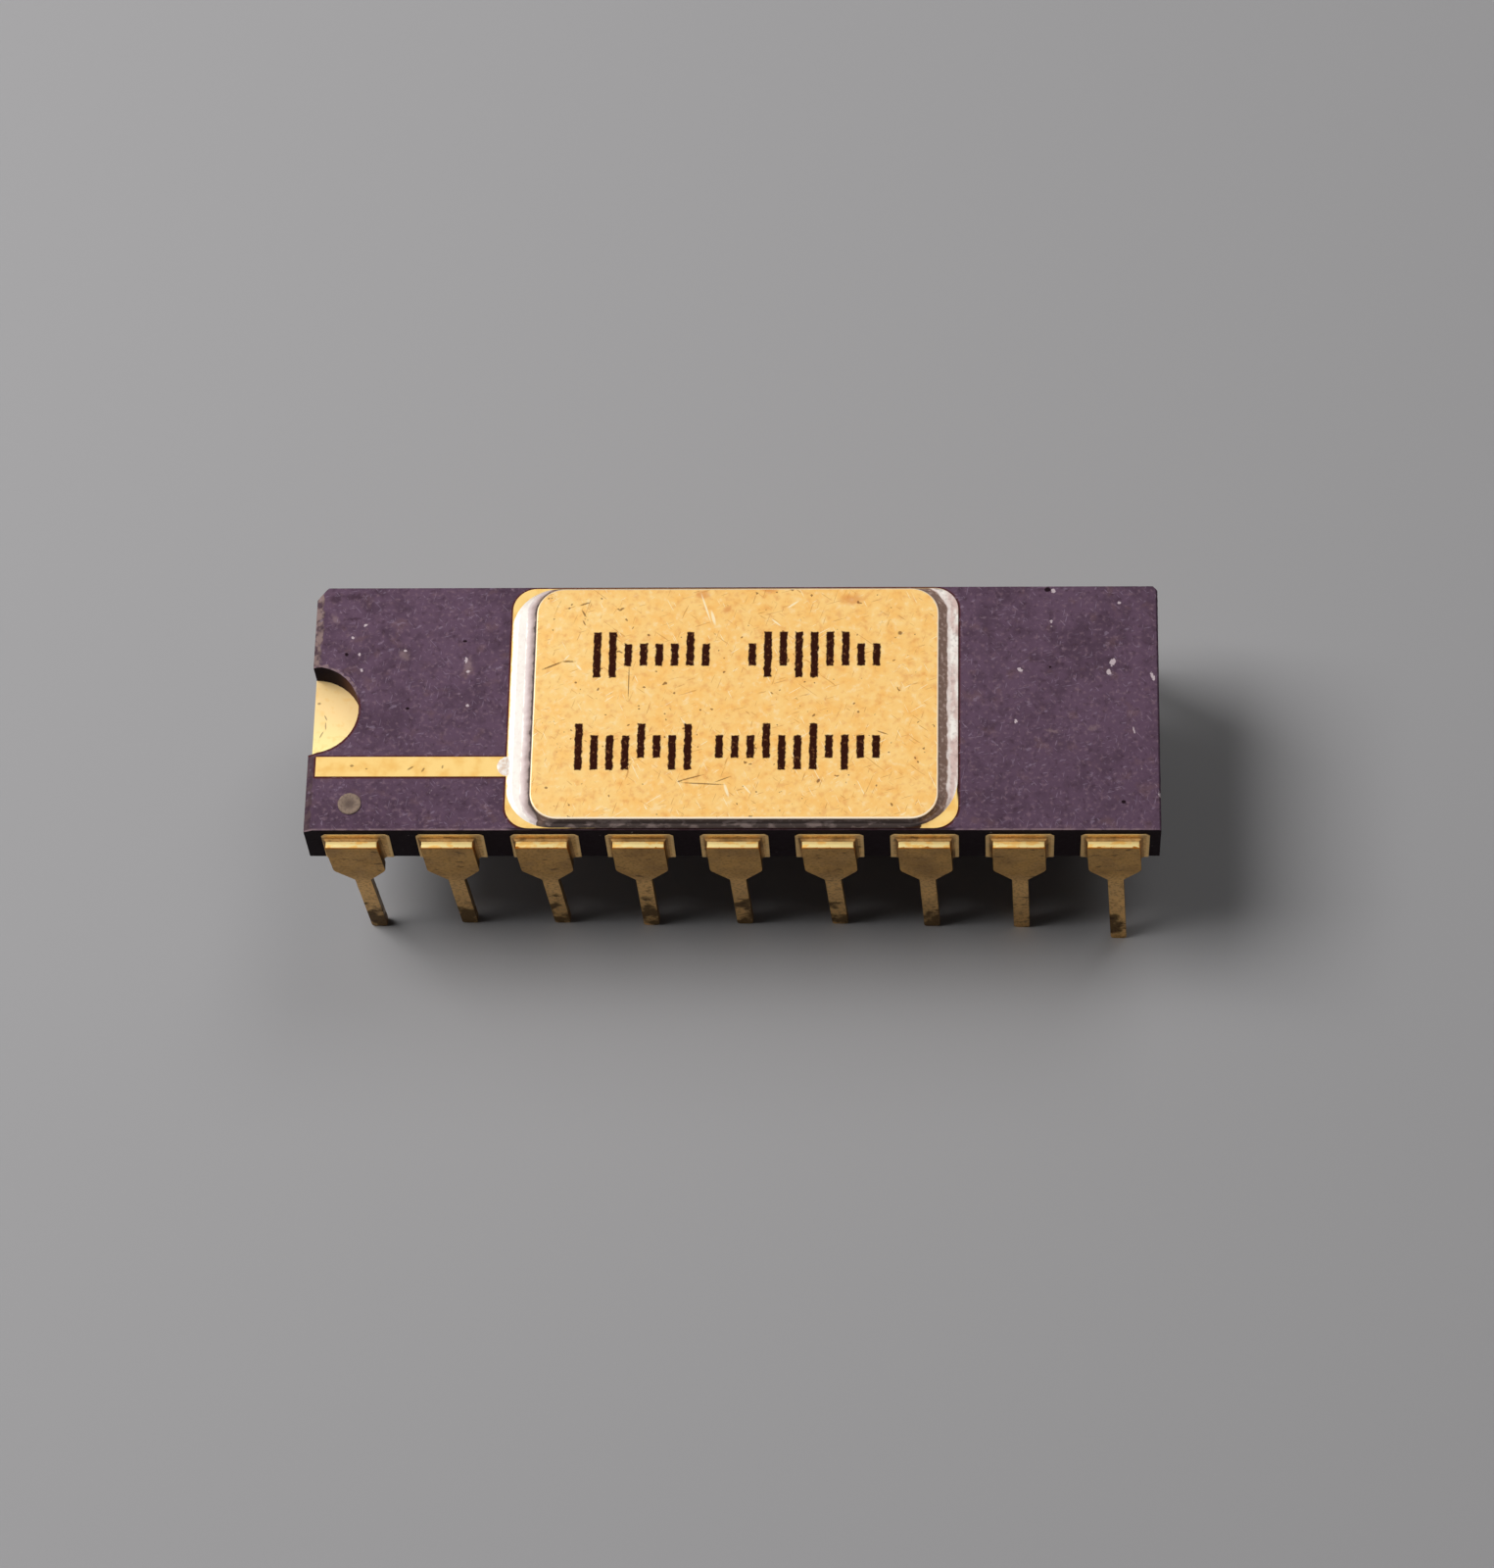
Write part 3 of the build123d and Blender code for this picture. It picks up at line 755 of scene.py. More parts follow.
# %% Put the lid's finish together
def lid_finish():
    """Satin gold with stains, scratches and the stamp, a painted highlight on the rim and painted shade
    down the wall.
    """
    finish = new_finish("lid_gold", LID_GOLD, 1.0, 0.34)
    clouds = spots(finish, 0.34, 0.70, 0.45, 6, shift=3)
    mottle = noise(finish, 0.18, 5, shift=12)
    rolled = noise(finish, 0.10, 3, stretch=(1, 6, 1), shift=6)
    # Painted shade: the lid is painted deeper gold towards the right, away from the main lamp.
    shade_to_right = spread(finish, past(finish, "X", -4.5, -1.5), 0, 0.25)
    dust = spots(finish, 0.735, 0.78, 0.16, 1, shift=21)
    dark = marks(finish, (*LID_SPECKS, *DARK_SCRATCHES), ragged=0.4, edge=0.5)
    ink = union(finish, [stamp_row(finish, *row) for row in STAMP_ROWS])
    inked = coat(finish, STAMP_BROWN, STAMP_CRUMB, spots(finish, 0.60, 0.68, 0.09, 3, shift=51), 0.6)
    top = coats(
        finish, LID_GOLD,
        # clouds of deeper gold, and painted shade towards the right
        (LID_DEEP, both(finish, spread(finish, clouds, 0.05, 0.70), shade_to_right, "ADD")),
        (LID_STAIN, patch(finish, mottle, 0.50, 0.74), 0.34),
        (SCRATCH_PALE, patch(finish, mottle, 0.46, 0.28), 0.30),
        (SCRATCH_BROWN, fine_scratches(finish, (17, -38, 71), 0.6, 0.72), 0.6),
        (SCRATCH_PALE, fine_scratches(finish, (33, -64), 0.6, 0.735), 0.7),
        (LID_STAIN, marks(finish, LID_STAINS, ragged=0.5, edge=0.7), 0.55),
        (SPECK_BROWN, union(finish, [dust, dark]), 0.7),
        (SCRATCH_PALE, marks(finish, PALE_SCRATCHES, edge=0.6), 0.8),
        (inked, ink),
    )
    # painted highlight: cream where the rim turns from level
    colour = coat(finish, RIM_HIGHLIGHT_CREAM, top, facing(finish, "Z", 0.90, 0.985))
    # painted shade down the lid's upright wall
    colour = coat(finish, LID_WALL_SHADE, colour, facing(finish, "Z", 0.05, 0.35))
    to_shader(finish, "Base Color", colour)
    to_shader(finish, "Metallic", inverse(finish, ink))
    set_specular(finish, 0.03)
    rough = both(finish, spread(finish, clouds, 0.28, 0.42), spread(finish, ink, 0, 0.1), "ADD")
    to_shader(finish, "Roughness", rough)
    relief = both(finish, both(finish, rolled, mottle, "ADD"), ink, "ADD")
    bump(finish, relief, 0.003)
    return finish


lid_gold = lid_finish()
print("lid:", len(lid_gold.node_tree.nodes), "nodes in its finish")

# %% Finish the printed gold
PRINT_GOLD = hue(255, 217, 138)
PRINT_DEEP = hue(246, 196, 110)
FLOOR_GOLD = hue(252, 216, 152)
FLOOR_PALE = hue(255, 238, 164)
FLUX_BROWN = hue(66, 44, 34)
PRINT_MARKS = (
    ((-11.22, 0.13), (0.22, 0.05), -65),
    ((-11.21, -0.12), (0.30, 0.05), 95),
    ((-11.31, -0.38), (0.30, 0.05), 65),
    ((-11.42, 0.56), (0.12, 0.10), 0),
    ((-10.31, -1.75), (0.13, 0.10), 0),
    ((-9.91, -1.84), (0.07, 0.06), 0),
    ((-8.72, -1.82), (0.26, 0.07), 35),
    ((-8.38, -1.87), (0.20, 0.07), 60),
    ((-7.86, -1.78), (0.14, 0.06), 80),
)


def fluxed_front(finish):
    """1 on the ring's border in front of the lid, where flux has run over the gold."""
    front = past(finish, "Y", SEAL_LOW[1] + 0.12, SEAL_LOW[1] + 0.06)
    wander = spread(finish, noise(finish, 0.5, 4, shift=3), -1.2, 1.2)
    along = both(finish, place_along(finish, "X"), wander, "ADD")
    from_left = patch(finish, along, SEAL_LOW[0] + 1.6, SEAL_LOW[0] + 2.4)
    from_right = patch(finish, along, SEAL_HIGH[0] - 0.9, SEAL_HIGH[0] - 1.1)
    return both(finish, front, both(finish, from_left, from_right))


def right_border(finish):
    """1 on the hair of ring that shows beyond the solder on the right, down to the near corner."""
    border = patch(finish, ring_distance(finish), -0.05, -0.02)
    on_right = past(finish, "X", LID_HIGH[0], LID_HIGH[0] + 0.3)
    return both(finish, border, both(finish, on_right, past(finish, "Y", -2.9, -2.5)))


def printed_gold_finish():
    """Grainy gold for the ring and the stripe, and a paler gold deep down in the notch."""
    finish = new_finish("printed_gold", PRINT_GOLD, 1.0, 0.4)
    grain = noise(finish, 0.08, 4)
    deep_down = past(finish, "Z", TOP - 0.3, TOP - 0.6)
    notch_gold = coats(
        finish, FLOOR_GOLD,
        (FLOOR_PALE, past(finish, "Y", 0.4, -1.2)),
        (PRINT_DEEP, spots(finish, 0.5, 0.7, 0.2, 5), 0.4),
    )
    colour = coats(
        finish, PRINT_GOLD,
        (PRINT_DEEP, spots(finish, 0.4, 0.75, 0.4, 4, shift=5)),
        (notch_gold, deep_down),
        (SPECK_BROWN, marks(finish, PRINT_MARKS, ragged=0.3, edge=0.5), 0.6),
        (FLUX_BROWN, union(finish, [fluxed_front(finish), right_border(finish)])),
    )
    to_shader(finish, "Base Color", colour)
    to_shader(finish, "Metallic", spread(finish, deep_down, 1.0, 0.3))
    to_shader(finish, "Roughness", spread(finish, grain, 0.32, 0.5))
    bump(finish, grain, 0.002)
    return finish


printed_gold = printed_gold_finish()
print("printed gold: 1 finish for ring, stripe and notch floor")

# %% The colours of pads, leads and braze
PAD_GOLD = hue(224, 182, 118)
PAD_RIM = hue(238, 203, 140)
LEAD_GOLD = hue(190, 148, 84)
LEAD_DULL = hue(150, 113, 64)
# Painted light: the legs are painted lighter than the blades.
LIT_LEG_GOLD = hue(236, 192, 128)
LEAD_GRAIN = hue(112, 82, 46)
# Painted highlight on the blades' upward faces, with worn orange streaks.
EDGE_HIGHLIGHT = hue(255, 232, 162)
WORN_EDGE_HIGHLIGHT = hue(255, 206, 118)
# Painted shade: amber where the rounded top edge turns forward.
EDGE_AMBER_SHADE = hue(172, 104, 34)
BRAZE_BROWN = hue(190, 146, 88)
# Brown for dirt marks and the braze's dull gold, and painted shade on the side faces.
DIRT_AND_SHADE_BROWN = hue(74, 50, 28)
RESIDUE = hue(46, 28, 13)
BLADE_BACK, BLADE_FRONT = 3.70, 3.955
DIRTY_METAL = 0.35
BRIGHT_METAL = 0.12
PAD_LOW, PAD_HIGH = in_millimetres(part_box("side_pads"))
PITCH = 2.54
PAD_HALF = -4 * PITCH - PAD_LOW[0]
RIM_WIDTH = 0.07
print("pads:", round(2 * PAD_HALF, 2), "mm wide")


# %% Finish the pads, the leads and their braze
def pad_rim(finish):
    """1 along the border of each pad. The pads repeat at the leads' pitch, and the fifth is at X = 0."""
    across = both(finish, place_along(finish, "X"), PITCH / 2, "PINGPONG")
    sides = patch(finish, across, PAD_HALF - RIM_WIDTH - 0.03, PAD_HALF - RIM_WIDTH)
    top = past(finish, "Z", PAD_HIGH[2] - RIM_WIDTH - 0.03, PAD_HIGH[2] - RIM_WIDTH)
    bottom = past(finish, "Z", PAD_LOW[2] + RIM_WIDTH + 0.03, PAD_LOW[2] + RIM_WIDTH)
    return union(finish, [sides, top, bottom])


def blade_top(finish):
    """1 on the blade's top face, between two wavy borders."""
    wander = spread(finish, noise(finish, 0.22, 3, shift=92), -0.11, 0.11)
    depth = both(finish, both(finish, place_along(finish, "Y"), 0, "ABSOLUTE"), wander, "ADD")
    front = patch(finish, depth, BLADE_FRONT, BLADE_FRONT - 0.02)
    back = patch(finish, depth, BLADE_BACK, BLADE_BACK + 0.02)
    return both(finish, facing(finish, "Z", 0.66, 0.86), both(finish, front, back))


def old_plating(finish, clean, dull):
    """The plating's colour: clean and dull in clouds, lighter on the legs as painted light, with dark
    marks.
    """
    return coats(
        finish, clean,
        (dull, spots(finish, 0.35, 0.7, 0.7, 5), 0.7),
        (LIT_LEG_GOLD, past(finish, "Z", 3.5, 2.6), 0.6),
        (LEAD_GRAIN, spots(finish, 0.46, 0.64, 0.09, 5, shift=83), 0.4),
        (DIRT_AND_SHADE_BROWN, spots(finish, 0.60, 0.70, 0.22, 5, stretch=(2, 1, 1), shift=15), 0.7),
    )


def plated_finish(name, clean, dull, residue_top, lit_edge=True):
    """Old plating. Brown residue covers it from the tips up and thins out towards the height
    residue_top. Side faces get painted shade, strongly with lit_edge. With lit_edge, the blades' upward
    faces get a painted highlight, with worn streaks, and the rounded edge in front of them painted amber
    shade."""
    finish = new_finish(name, clean, 1.0, 0.4)
    colour = old_plating(finish, clean, dull)
    rise = past(finish, "Z", residue_top, 0.2)
    blotches = noise(finish, 0.55, 5, shift=7)
    dirty = patch(finish, both(finish, blotches, spread(finish, rise, 0, 0.28), "ADD"), 0.68, 0.82)
    colour = coat(finish, colour, RESIDUE, dirty, 0.85)
    # painted shade on the side faces, strong on the leads
    sides = union(finish, [facing(finish, "X", -0.5, -0.8), facing(finish, "X", 0.5, 0.8)])
    colour = coat(finish, colour, DIRT_AND_SHADE_BROWN, sides, 0.8 if lit_edge else 0.2)
    if name == "pad_gold":
        colour = coat(finish, colour, PAD_RIM, pad_rim(finish), 0.6)
    # painted highlight on the blades' tops
    if lit_edge:
        bright = blade_top(finish)
        # painted amber shade where the edge turns away from the top
        colour = coat(finish, colour, EDGE_AMBER_SHADE, facing(finish, "Z", 0.12, 0.30))
        streaks = spots(finish, 0.48, 0.62, 0.13, 4, stretch=(2.5, 1, 1), shift=61)
        colour = coat(finish, colour, coat(finish, EDGE_HIGHLIGHT, WORN_EDGE_HIGHLIGHT, streaks), bright)
        dirty = both(finish, dirty, inverse(finish, bright))
    rough = spread(finish, union(finish, [blotches, dirty]), 0.30, 0.62)
    metal = spread(finish, dirty, 1.0, DIRTY_METAL)
    if lit_edge:
        rough = both(finish, rough, spread(finish, bright, 1.0, 0.7))
        metal = both(finish, metal, spread(finish, bright, 1.0, BRIGHT_METAL))
    to_shader(finish, "Base Color", colour)
    to_shader(finish, "Roughness", rough)
    to_shader(finish, "Metallic", metal)
    set_specular(finish, 0.15)
    bump(finish, both(finish, noise(finish, 0.11, 5), spread(finish, dirty, 0, 0.8), "ADD"), 0.008)
    return finish


pad_gold = plated_finish("pad_gold", PAD_GOLD, LEAD_GOLD, 3.9, lit_edge=False)
lead_gold = plated_finish("lead_gold", LEAD_GOLD, LEAD_DULL, 3.2)
gold_braze = plated_finish("gold_braze", BRAZE_BROWN, DIRT_AND_SHADE_BROWN, 3.9, lit_edge=False)
print("plated finishes: 3")

# %% [markdown]
# ## Solder, ink and what the lid hides
#
# The seal's solder is a tin-white metal that froze with a mottled skin. Where it climbs the lid's
# wall it is painted brown for flux and for the lid's shadow, and nearly black in front and on the
# left with painted shade. Its slope and its right side are painted greyer than the left, as painted
# shade. The dot over pin 1 is plain grey ink, thicker at its rim. The pieces under the lid are
# finished as well, because the package is made to be opened: dark fired tungsten for the traces,
# aluminium wires, a eutectic film under the chip, and the chip's own polished silicon.

# %% Finish the solder
SOLDER_WHITE = hue(246, 239, 230)
SOLDER_PINK = hue(214, 188, 180)
SOLDER_GREY = hue(192, 172, 170)
SOLDER_SPOT = hue(136, 118, 112)
# Painted shade with flux: dark beside the lid's wall in front and on the left.
FLUX_AND_SHADE_DARK = hue(62, 48, 43)
# Painted shadow of the lid with flux: brown beside the wall on the right.
WALL_FLUX_AND_SHADOW = hue(126, 98, 84)
WALL_PALE = hue(178, 152, 140)
LID_MIDDLE = ((LID_LOW[0] + LID_HIGH[0]) / 2, 0)
LID_SIZE = (LID_HIGH[0] - LID_LOW[0], LID_HIGH[1] - LID_LOW[1])
LID_RADIUS = 0.75


def solder_finish():
    """White where it ran out flat, at the left. By the lid's wall, brown for flux and a painted shadow
    of the lid, and darkest with painted shade in front and on the left.
    """
    finish = new_finish("seal_solder", SOLDER_WHITE, 1.0, 0.35)
    mottle = spots(finish, 0.48, 0.66, 0.13, 5, shift=8)
    wander = spread(finish, noise(finish, 0.24, 5, shift=14), -0.08, 0.08)
    from_lid = both(finish, outside(finish, LID_MIDDLE, LID_SIZE, LID_RADIUS), wander, "ADD")
    on_left = past(finish, "X", LID_LOW[0] + 0.5, LID_LOW[0] + 0.1)
    in_front = past(finish, "Y", LID_LOW[1] + 0.05, LID_LOW[1] - 0.05)
    in_front = both(finish, in_front, inverse(finish, on_left))
    reach = both(finish, spread(finish, on_left, 0.24, 0.05), in_front, "ADD")
    # the band beside the lid's wall, brown for flux and painted shadow
    flux = patch(finish, both(finish, from_lid, reach, "SUBTRACT"), 0.02, -0.03)
    above = spread(finish, on_left, 0.08, 0.22)
    higher = both(finish, reach, above, "ADD")
    climb = patch(finish, both(finish, from_lid, higher, "SUBTRACT"), 0.02, -0.03)
    cast = spots(finish, 0.34, 0.62, 0.32, 5, stretch=(0.7, 1.6, 1), shift=25)
    # Painted shade on the slope up to the lid: spotted grey near the wall, then grey, then white.
    fillet_slope_shade = coats(
        finish, SOLDER_SPOT,
        (SOLDER_GREY, patch(finish, from_lid, 0.02, 0.20)),
        (SOLDER_WHITE, patch(finish, from_lid, 0.12, 0.34), 0.6),
    )
    # the wall band: flux and painted shadow, darkest with painted shade in front and on the left
    wall = coats(
        finish, WALL_FLUX_AND_SHADOW,
        (WALL_PALE, spots(finish, 0.48, 0.72, 0.11, 5, shift=6)),
        (FLUX_AND_SHADE_DARK, union(finish, [in_front, on_left])),
    )
    flakes = spots(finish, 0.50, 0.64, 0.20, 6, stretch=(1.8, 1, 1), shift=71)
    from_ring = both(finish, ring_distance(finish), both(finish, wander, 0.5), "ADD")
    thin = both(finish, patch(finish, from_ring, -0.05, -0.02), on_left)
    # Painted light: the left, towards the lamp, stays whiter, and pink and grey mottling is laid on more
    # strongly elsewhere as painted shade.
    colour = coats(
        finish, SOLDER_WHITE,
        (SOLDER_PINK, both(finish, cast, spread(finish, on_left, 1.0, 0.1))),
        (SOLDER_SPOT, both(finish, mottle, spread(finish, on_left, 0.28, 0.05))),
        (fillet_slope_shade, both(finish, climb, spread(finish, on_left, 0.6, 1.0))),
        (wall, flux),
        (SOLDER_SPOT, both(finish, flakes, in_front), 0.8),
        (PRINT_DEEP, thin),
    )
    to_shader(finish, "Base Color", colour)
    to_shader(finish, "Metallic", spread(finish, union(finish, [flux, climb]), 1.0, 0.3))
    to_shader(finish, "Roughness", spread(finish, mottle, 0.32, 0.5))
    bump(finish, noise(finish, 0.22, 4, shift=3), 0.005)
    return finish


seal_solder = solder_finish()
print("solder finished")

# %% Finish the dot and the pieces under the lid
INK_MIDDLE = (-10.31, -2.87)


def mottled_finish(name, light, dark, metallic, roughness, size, depth):
    """One colour mottled with another. roughness is the least and the most, size that of the mottling
    and depth that of its relief, in millimetres."""
    finish = new_finish(name, light, metallic, sum(roughness) / 2)
    mottle = spots(finish, 0.38, 0.66, size, 5)
    to_shader(finish, "Base Color", coat(finish, light, dark, mottle))
    to_shader(finish, "Roughness", spread(finish, mottle, *roughness))
    bump(finish, noise(finish, size / 2, 4, shift=3), depth)
    return finish


def ink_finish():
    """Grey ink, dark in the middle of the dot and pale at its rim."""
    finish = new_finish("grey_ink", hue(132, 116, 104), 0.0, 0.6)
    set_specular(finish, 0.2)
    rim = mark(finish, INK_MIDDLE, (0.46, 0.46), ragged=0.2, edge=0.8)
    speckle = spots(finish, 0.45, 0.65, 0.07, 3)
    colour = coat(finish, hue(132, 114, 100), hue(80, 66, 60), spread(finish, rim, 0.1, 0.85))
    colour = coat(finish, colour, hue(100, 86, 80), speckle, 0.6)
    to_shader(finish, "Base Color", colour)
    to_shader(finish, "Roughness", spread(finish, speckle, 0.5, 0.75))
    bump(finish, speckle, 0.003)
    return finish


grey_ink = ink_finish()
fired_tungsten = mottled_finish(
    "fired_tungsten", hue(120, 116, 116), hue(86, 82, 84), 0.8, (0.5, 0.7), 0.1, 0.002
)
aluminium = mottled_finish(
    "bond_aluminium", hue(224, 226, 228), hue(196, 198, 202), 1.0, (0.2, 0.35), 0.05, 0.0005
)
die_alloy = mottled_finish(
    "die_attach_alloy", hue(214, 180, 110), hue(170, 140, 88), 1.0, (0.35, 0.5), 0.15, 0.002
)
silicon = mottled_finish(
    "silicon", hue(92, 100, 118), hue(70, 84, 92), 0.6, (0.12, 0.22), 0.3, 0.0005
)
run_out = mottled_finish(
    "run_out_solder", SOLDER_WHITE, hue(226, 204, 186), 1.0, (0.3, 0.5), 0.1, 0.004
)
print("materials:", len(bpy.data.materials))

# %% [markdown]
# ## Pieces modelled by hand
#
# Three pieces are modelled from primitives. The helpers below put a primitive's place and size into
# its mesh, choose edges or faces by where they lie, and bevel them. Everything else is deselected
# first, because a primitive arrives selected all over.

# %% Helpers for modelling by hand
SAME_PLACE = 0.001


def own_mesh(name):
    """Names the primitive just added, and puts its place and its size into its mesh."""
    piece = bpy.context.object
    piece.name = name
    bpy.ops.object.transform_apply(location=True, rotation=True, scale=True)
    return piece


def choose(piece, kind, test):
    """Selects the edges or the polygons all of whose corners pass the test, and nothing else."""
    mesh = piece.data
    for part in (*mesh.vertices, *mesh.edges, *mesh.polygons):
        part.select = False
    for part in getattr(mesh, kind):
        part.select = test([mesh.vertices[index].co / MM for index in part.vertices])
    bpy.context.tool_settings.mesh_select_mode = (False, kind == "edges", kind == "polygons")


def bevel_edges(piece, test, width, segments):
    """Rounds the edges that pass the test."""
    choose(piece, "edges", test)
    bpy.ops.object.mode_set(mode="EDIT")
    bpy.ops.mesh.bevel(offset=width * MM, segments=segments, affect="EDGES")
    bpy.ops.object.mode_set(mode="OBJECT")


def all_at(height):
    """A test: every corner lies at that height."""
    return lambda corners: all(abs(corner.z - height) < SAME_PLACE for corner in corners)


print("helpers ready")

# %% [markdown]
# The lid is a plate punched from strip, with round corners and a rim that the punch has drawn down. A
# cube is given its size, its four upright edges are bevelled to the corners' radius, and then the
# border of the top face is bevelled to the rim. The rim is what catches the light as a cream line, so
# it has five segments.

# %% Model the lid
LID_CORNER_SEGMENTS = 12
LID_RIM, LID_RIM_SEGMENTS = 0.06, 5
LID_FOOT, LID_FOOT_SEGMENTS = 0.02, 2
SMOOTH_ANGLE = 35


def is_upright(ends):
    """A test: one end of the edge lies over the other."""
    return (ends[0] - ends[1]).xy.length < SAME_PLACE


def lid_plate():
    """The lid, with its corners, its rim and its foot rounded."""
    size = [high - low for low, high in zip(LID_LOW, LID_HIGH)]
    middle = [(low + high) / 2 for low, high in zip(LID_LOW, LID_HIGH)]
    bpy.ops.object.select_all(action="DESELECT")
    bpy.ops.mesh.primitive_cube_add(size=1, location=Vector(middle) * MM, scale=Vector(size) * MM)
    plate = own_mesh("lid_plate")
    bevel_edges(plate, is_upright, LID_RADIUS, LID_CORNER_SEGMENTS)
    bevel_edges(plate, all_at(LID_HIGH[2]), LID_RIM, LID_RIM_SEGMENTS)
    bevel_edges(plate, all_at(LID_LOW[2]), LID_FOOT, LID_FOOT_SEGMENTS)
    bpy.ops.object.shade_smooth_by_angle(angle=math.radians(SMOOTH_ANGLE))
    return plate


lid = lid_plate()
print("lid:", len(lid.data.polygons), "faces")

# %% [markdown]
# The dot over pin 1 is a drop of ink that dried thicker at its rim. A cylinder's top face is inset
# four times: it rises at the rim, stays level, and then sinks twice towards the middle. The corners
# are shaken a little so that the outline isn't a perfect circle. The solder that ran out over the
# stripe is made the same way, but all its insets rise.

# %% Model the dot and the run-out solder
DROP_SIDES = 40
DROP_SMOOTH_ANGLE = 50
SHAKE_SEED = 5
DOT_MIDDLE = (-10.32, -2.87)
DOT_RADII = (0.31, 0.31)
DOT_INSETS = ((0.02, 0.012), (0.05, 0.0), (0.06, -0.014), (0.08, -0.006))
DOT_SHAKE = 0.004
SPILL_MIDDLE = (SEAL_LOW[0] + 0.04, STRIPE_MIDDLE[1])
SPILL_RADII = (0.30, 0.29)
SPILL_INSETS = ((0.03, 0.008), (0.06, 0.006), (0.08, 0.004))
SPILL_SHAKE = 0.008


def drop(name, middle, radii, low, high, insets, shake):
    """A low drop on a surface, between two heights. insets are (width, rise) pairs, and shake is how
    far its corners wander."""
    bpy.ops.object.select_all(action="DESELECT")
    bpy.ops.mesh.primitive_cylinder_add(
        vertices=DROP_SIDES, radius=1, depth=(high - low) * MM,
        location=Vector((*middle, (low + high) / 2)) * MM, scale=(radii[0] * MM, radii[1] * MM, 1),
    )
    piece = own_mesh(name)
    choose(piece, "polygons", all_at(high))
    bpy.ops.object.mode_set(mode="EDIT")
    for width, rise in insets:
        bpy.ops.mesh.inset(thickness=width * MM, depth=rise * MM)
    bpy.ops.mesh.select_all(action="SELECT")
    bpy.ops.transform.vertex_random(offset=shake * MM, seed=SHAKE_SEED)
    bpy.ops.object.mode_set(mode="OBJECT")
    bpy.ops.object.shade_smooth_by_angle(angle=math.radians(DROP_SMOOTH_ANGLE))
    return piece


ink_dot = drop("ink_dot", DOT_MIDDLE, DOT_RADII, TOP - 0.01, TOP + 0.026, DOT_INSETS, DOT_SHAKE)
spill = drop(
    "run_out_solder", SPILL_MIDDLE, SPILL_RADII, TOP + 0.02, TOP + 0.034, SPILL_INSETS, SPILL_SHAKE
)
print("dot and run-out solder:", len(ink_dot.data.polygons), "and", len(spill.data.polygons), "faces")

# %% [markdown]
# ## Softened edges
#
# Nothing real has a perfectly sharp edge, and on plated metal and fired ceramic it is the edge that
# catches the light. A CAD node is loose triangles, so the helper below works on a copy: it merges the
# triangles' corners, dissolves the lines across flat faces, and bevels what is still sharp. Weighted
# normals keep the flat faces flat beside the bevels. The CAD node itself is left alone, and the
# softened copy stands for it.

# %% A helper that softens a CAD node's edges
TOP_BAND = 0.02
TOP_SEGMENTS = 3
EDGE_SEGMENTS = 2
MERGE_DISTANCE = 0.0005
FLAT_ANGLE = 1
SHARP_ANGLE = 40


def round_top_edges(piece, radius):
    """Rounds the edges round the piece's highest face by radius millimetres."""
    top = max(vertex.co.z for vertex in piece.data.vertices)
    near_top = {vertex.index for vertex in piece.data.vertices if vertex.co.z > top - TOP_BAND * MM}
    for edge in piece.data.edges:
        edge.select = set(edge.vertices) <= near_top
    bpy.context.tool_settings.mesh_select_mode = (False, True, False)
    bpy.ops.object.mode_set(mode="EDIT")
    bpy.ops.mesh.bevel(offset=radius * MM, segments=TOP_SEGMENTS, affect="EDGES")
    bpy.ops.object.mode_set(mode="OBJECT")


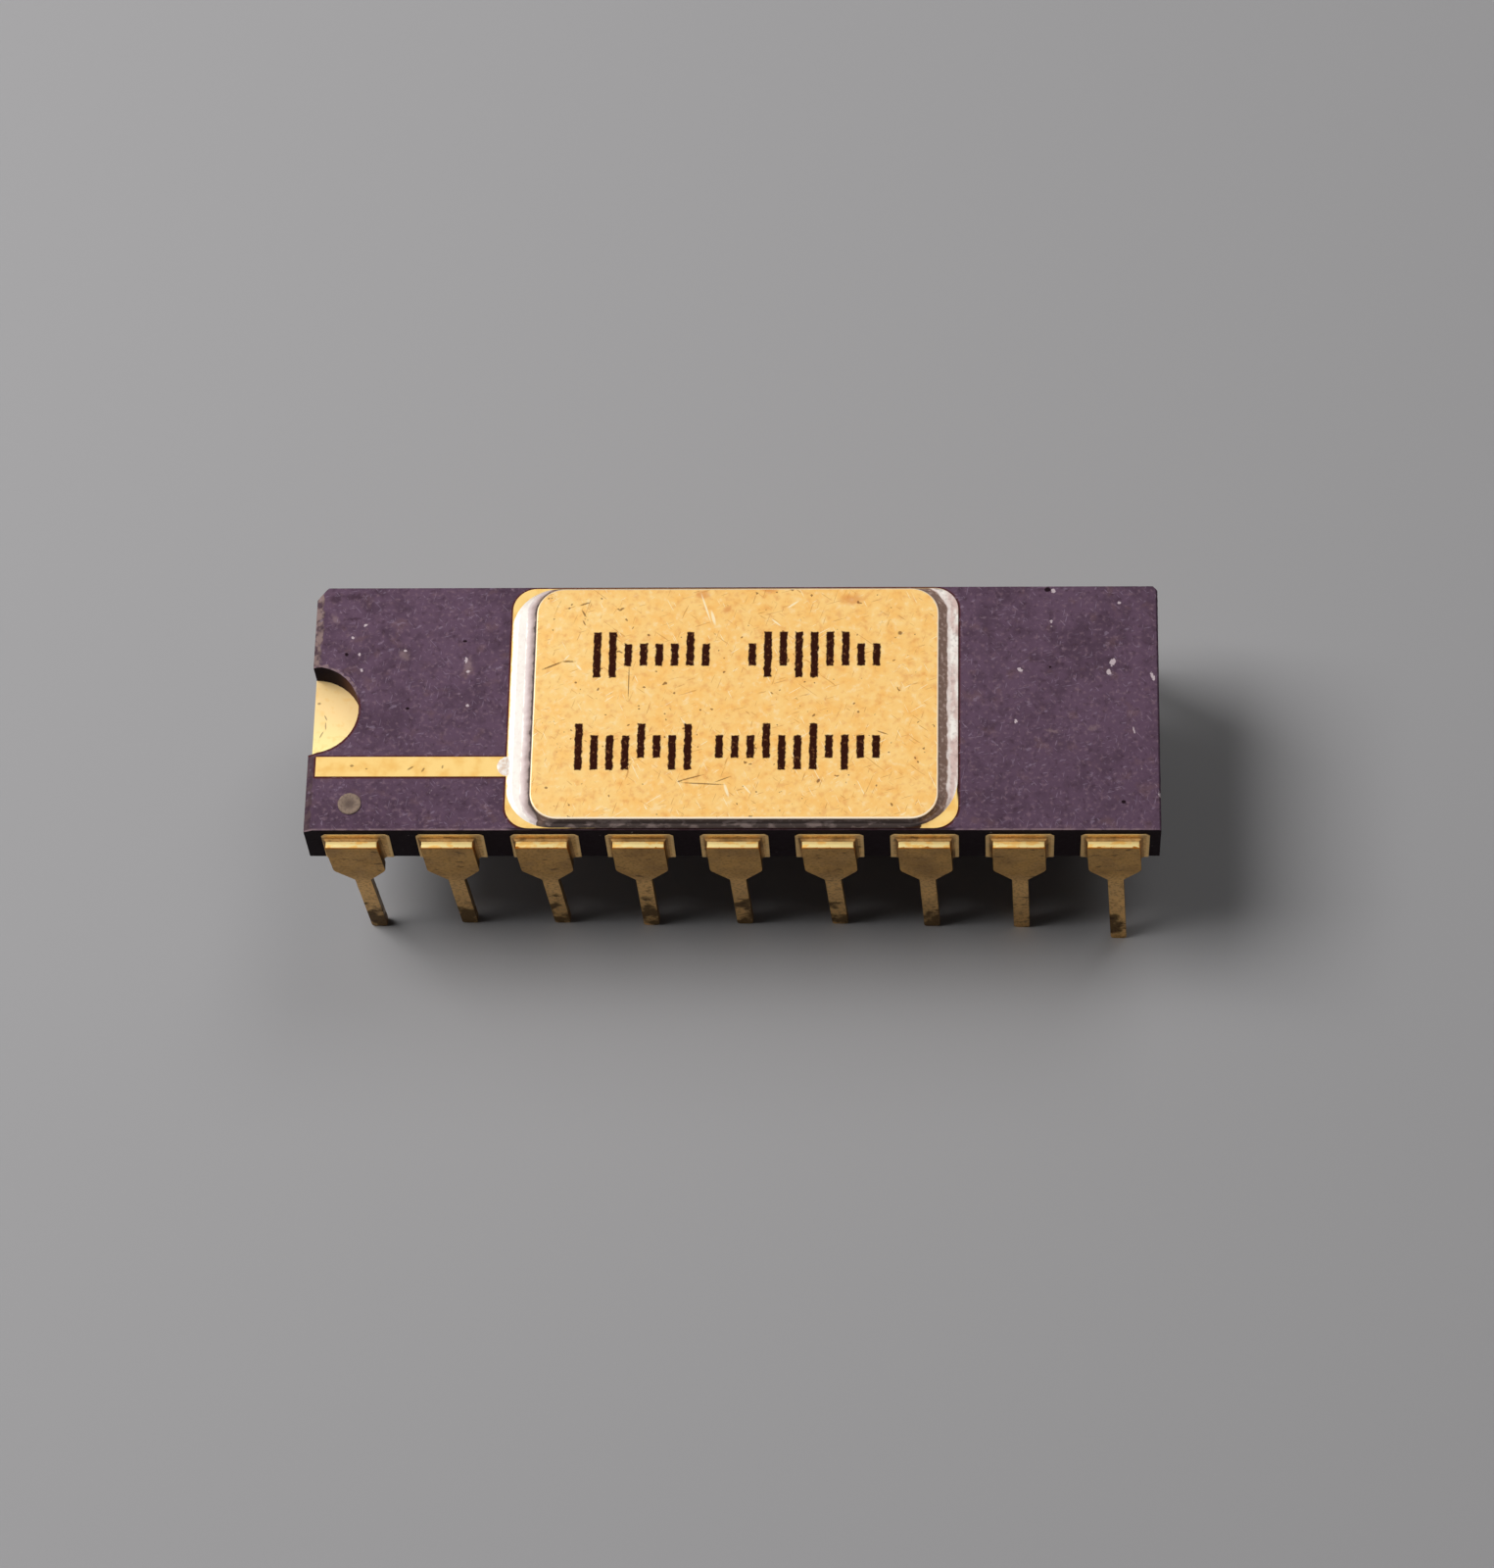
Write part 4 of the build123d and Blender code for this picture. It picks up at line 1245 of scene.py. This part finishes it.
def softened(node_name, edge_width, top_radius=0.0):
    """A copy of a CAD node with its sharp edges rounded by edge_width millimetres, and those round its
    highest face by top_radius."""
    bpy.ops.object.select_all(action="DESELECT")
    piece = nodes[node_name].copy()
    piece.data = nodes[node_name].data.copy()
    piece.parent = None
    piece.matrix_world = Matrix.Identity(4)
    piece.name = node_name + "_finished"
    bpy.context.scene.collection.objects.link(piece)
    bpy.context.view_layer.objects.active = piece
    piece.select_set(True)
    bpy.ops.mesh.customdata_custom_splitnormals_clear()
    bpy.ops.object.mode_set(mode="EDIT")
    bpy.ops.mesh.select_all(action="SELECT")
    bpy.ops.mesh.remove_doubles(threshold=MERGE_DISTANCE * MM)
    bpy.ops.mesh.dissolve_limited(angle_limit=math.radians(FLAT_ANGLE))
    bpy.ops.mesh.select_all(action="DESELECT")
    bpy.ops.object.mode_set(mode="OBJECT")
    if top_radius:
        round_top_edges(piece, top_radius)
    bevel = piece.modifiers.new("soft_edge", "BEVEL")
    bevel.width = edge_width * MM
    bevel.segments = EDGE_SEGMENTS
    bevel.limit_method = "ANGLE"
    bevel.angle_limit = math.radians(SHARP_ANGLE)
    bevel.use_clamp_overlap = True
    bpy.ops.object.modifier_apply(modifier=bevel.name)
    bpy.ops.object.shade_smooth_by_angle(angle=math.radians(SMOOTH_ANGLE))
    weighted = piece.modifiers.new("flat_faces", "WEIGHTED_NORMAL")
    weighted.keep_sharp = True
    bpy.ops.object.modifier_apply(modifier=weighted.name)
    return piece


print("edges sharper than", SHARP_ANGLE, "degrees are bevelled")


# %% A helper that dresses a piece
def dress(piece, finish, *node_names):
    """Gives a piece its finish and its place in the frame. It stands for the CAD nodes node_names."""
    piece.data.materials.clear()
    piece.data.materials.append(finish)
    if node_names:
        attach(piece, "root")
        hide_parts(*node_names)


print("the dress helper is ready")

# %% Dress every node
EDGE_WIDTHS = {"ceramic_body": 0.03, "seal_ring": 0.01, "side_pads": 0.012}
NODE_FINISHES = {
    "ceramic_body": ceramic,
    "notch_floor": printed_gold,
    "seal_ring": printed_gold,
    "solder_seal": seal_solder,
    "side_pads": pad_gold,
    "inner_traces": fired_tungsten,
    "chip_bond_pads": aluminium,
    "die_pad": printed_gold,
    "die_attach": die_alloy,
    "die": silicon,
    "braze_fillets": gold_braze,
}
LEAD_EDGE_WIDTH = 0.02
LEAD_TOP_RADIUS = 0.055

dress(lid, lid_gold, "lid")
dress(ink_dot, grey_ink, "pin_one_dot")
dress(spill, run_out)
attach(spill, "root")
for name in nodes:
    if name in ("lid", "pin_one_dot"):
        continue
    if name.startswith("lead_"):
        dress(softened(name, LEAD_EDGE_WIDTH, top_radius=LEAD_TOP_RADIUS), lead_gold, name)
    elif name.startswith("bond_wire_"):
        dress(nodes[name], aluminium)
    elif name in EDGE_WIDTHS:
        dress(softened(name, EDGE_WIDTHS[name]), NODE_FINISHES[name], name)
    else:
        dress(nodes[name], NODE_FINISHES[name])
print("dressed", len(nodes), "nodes")
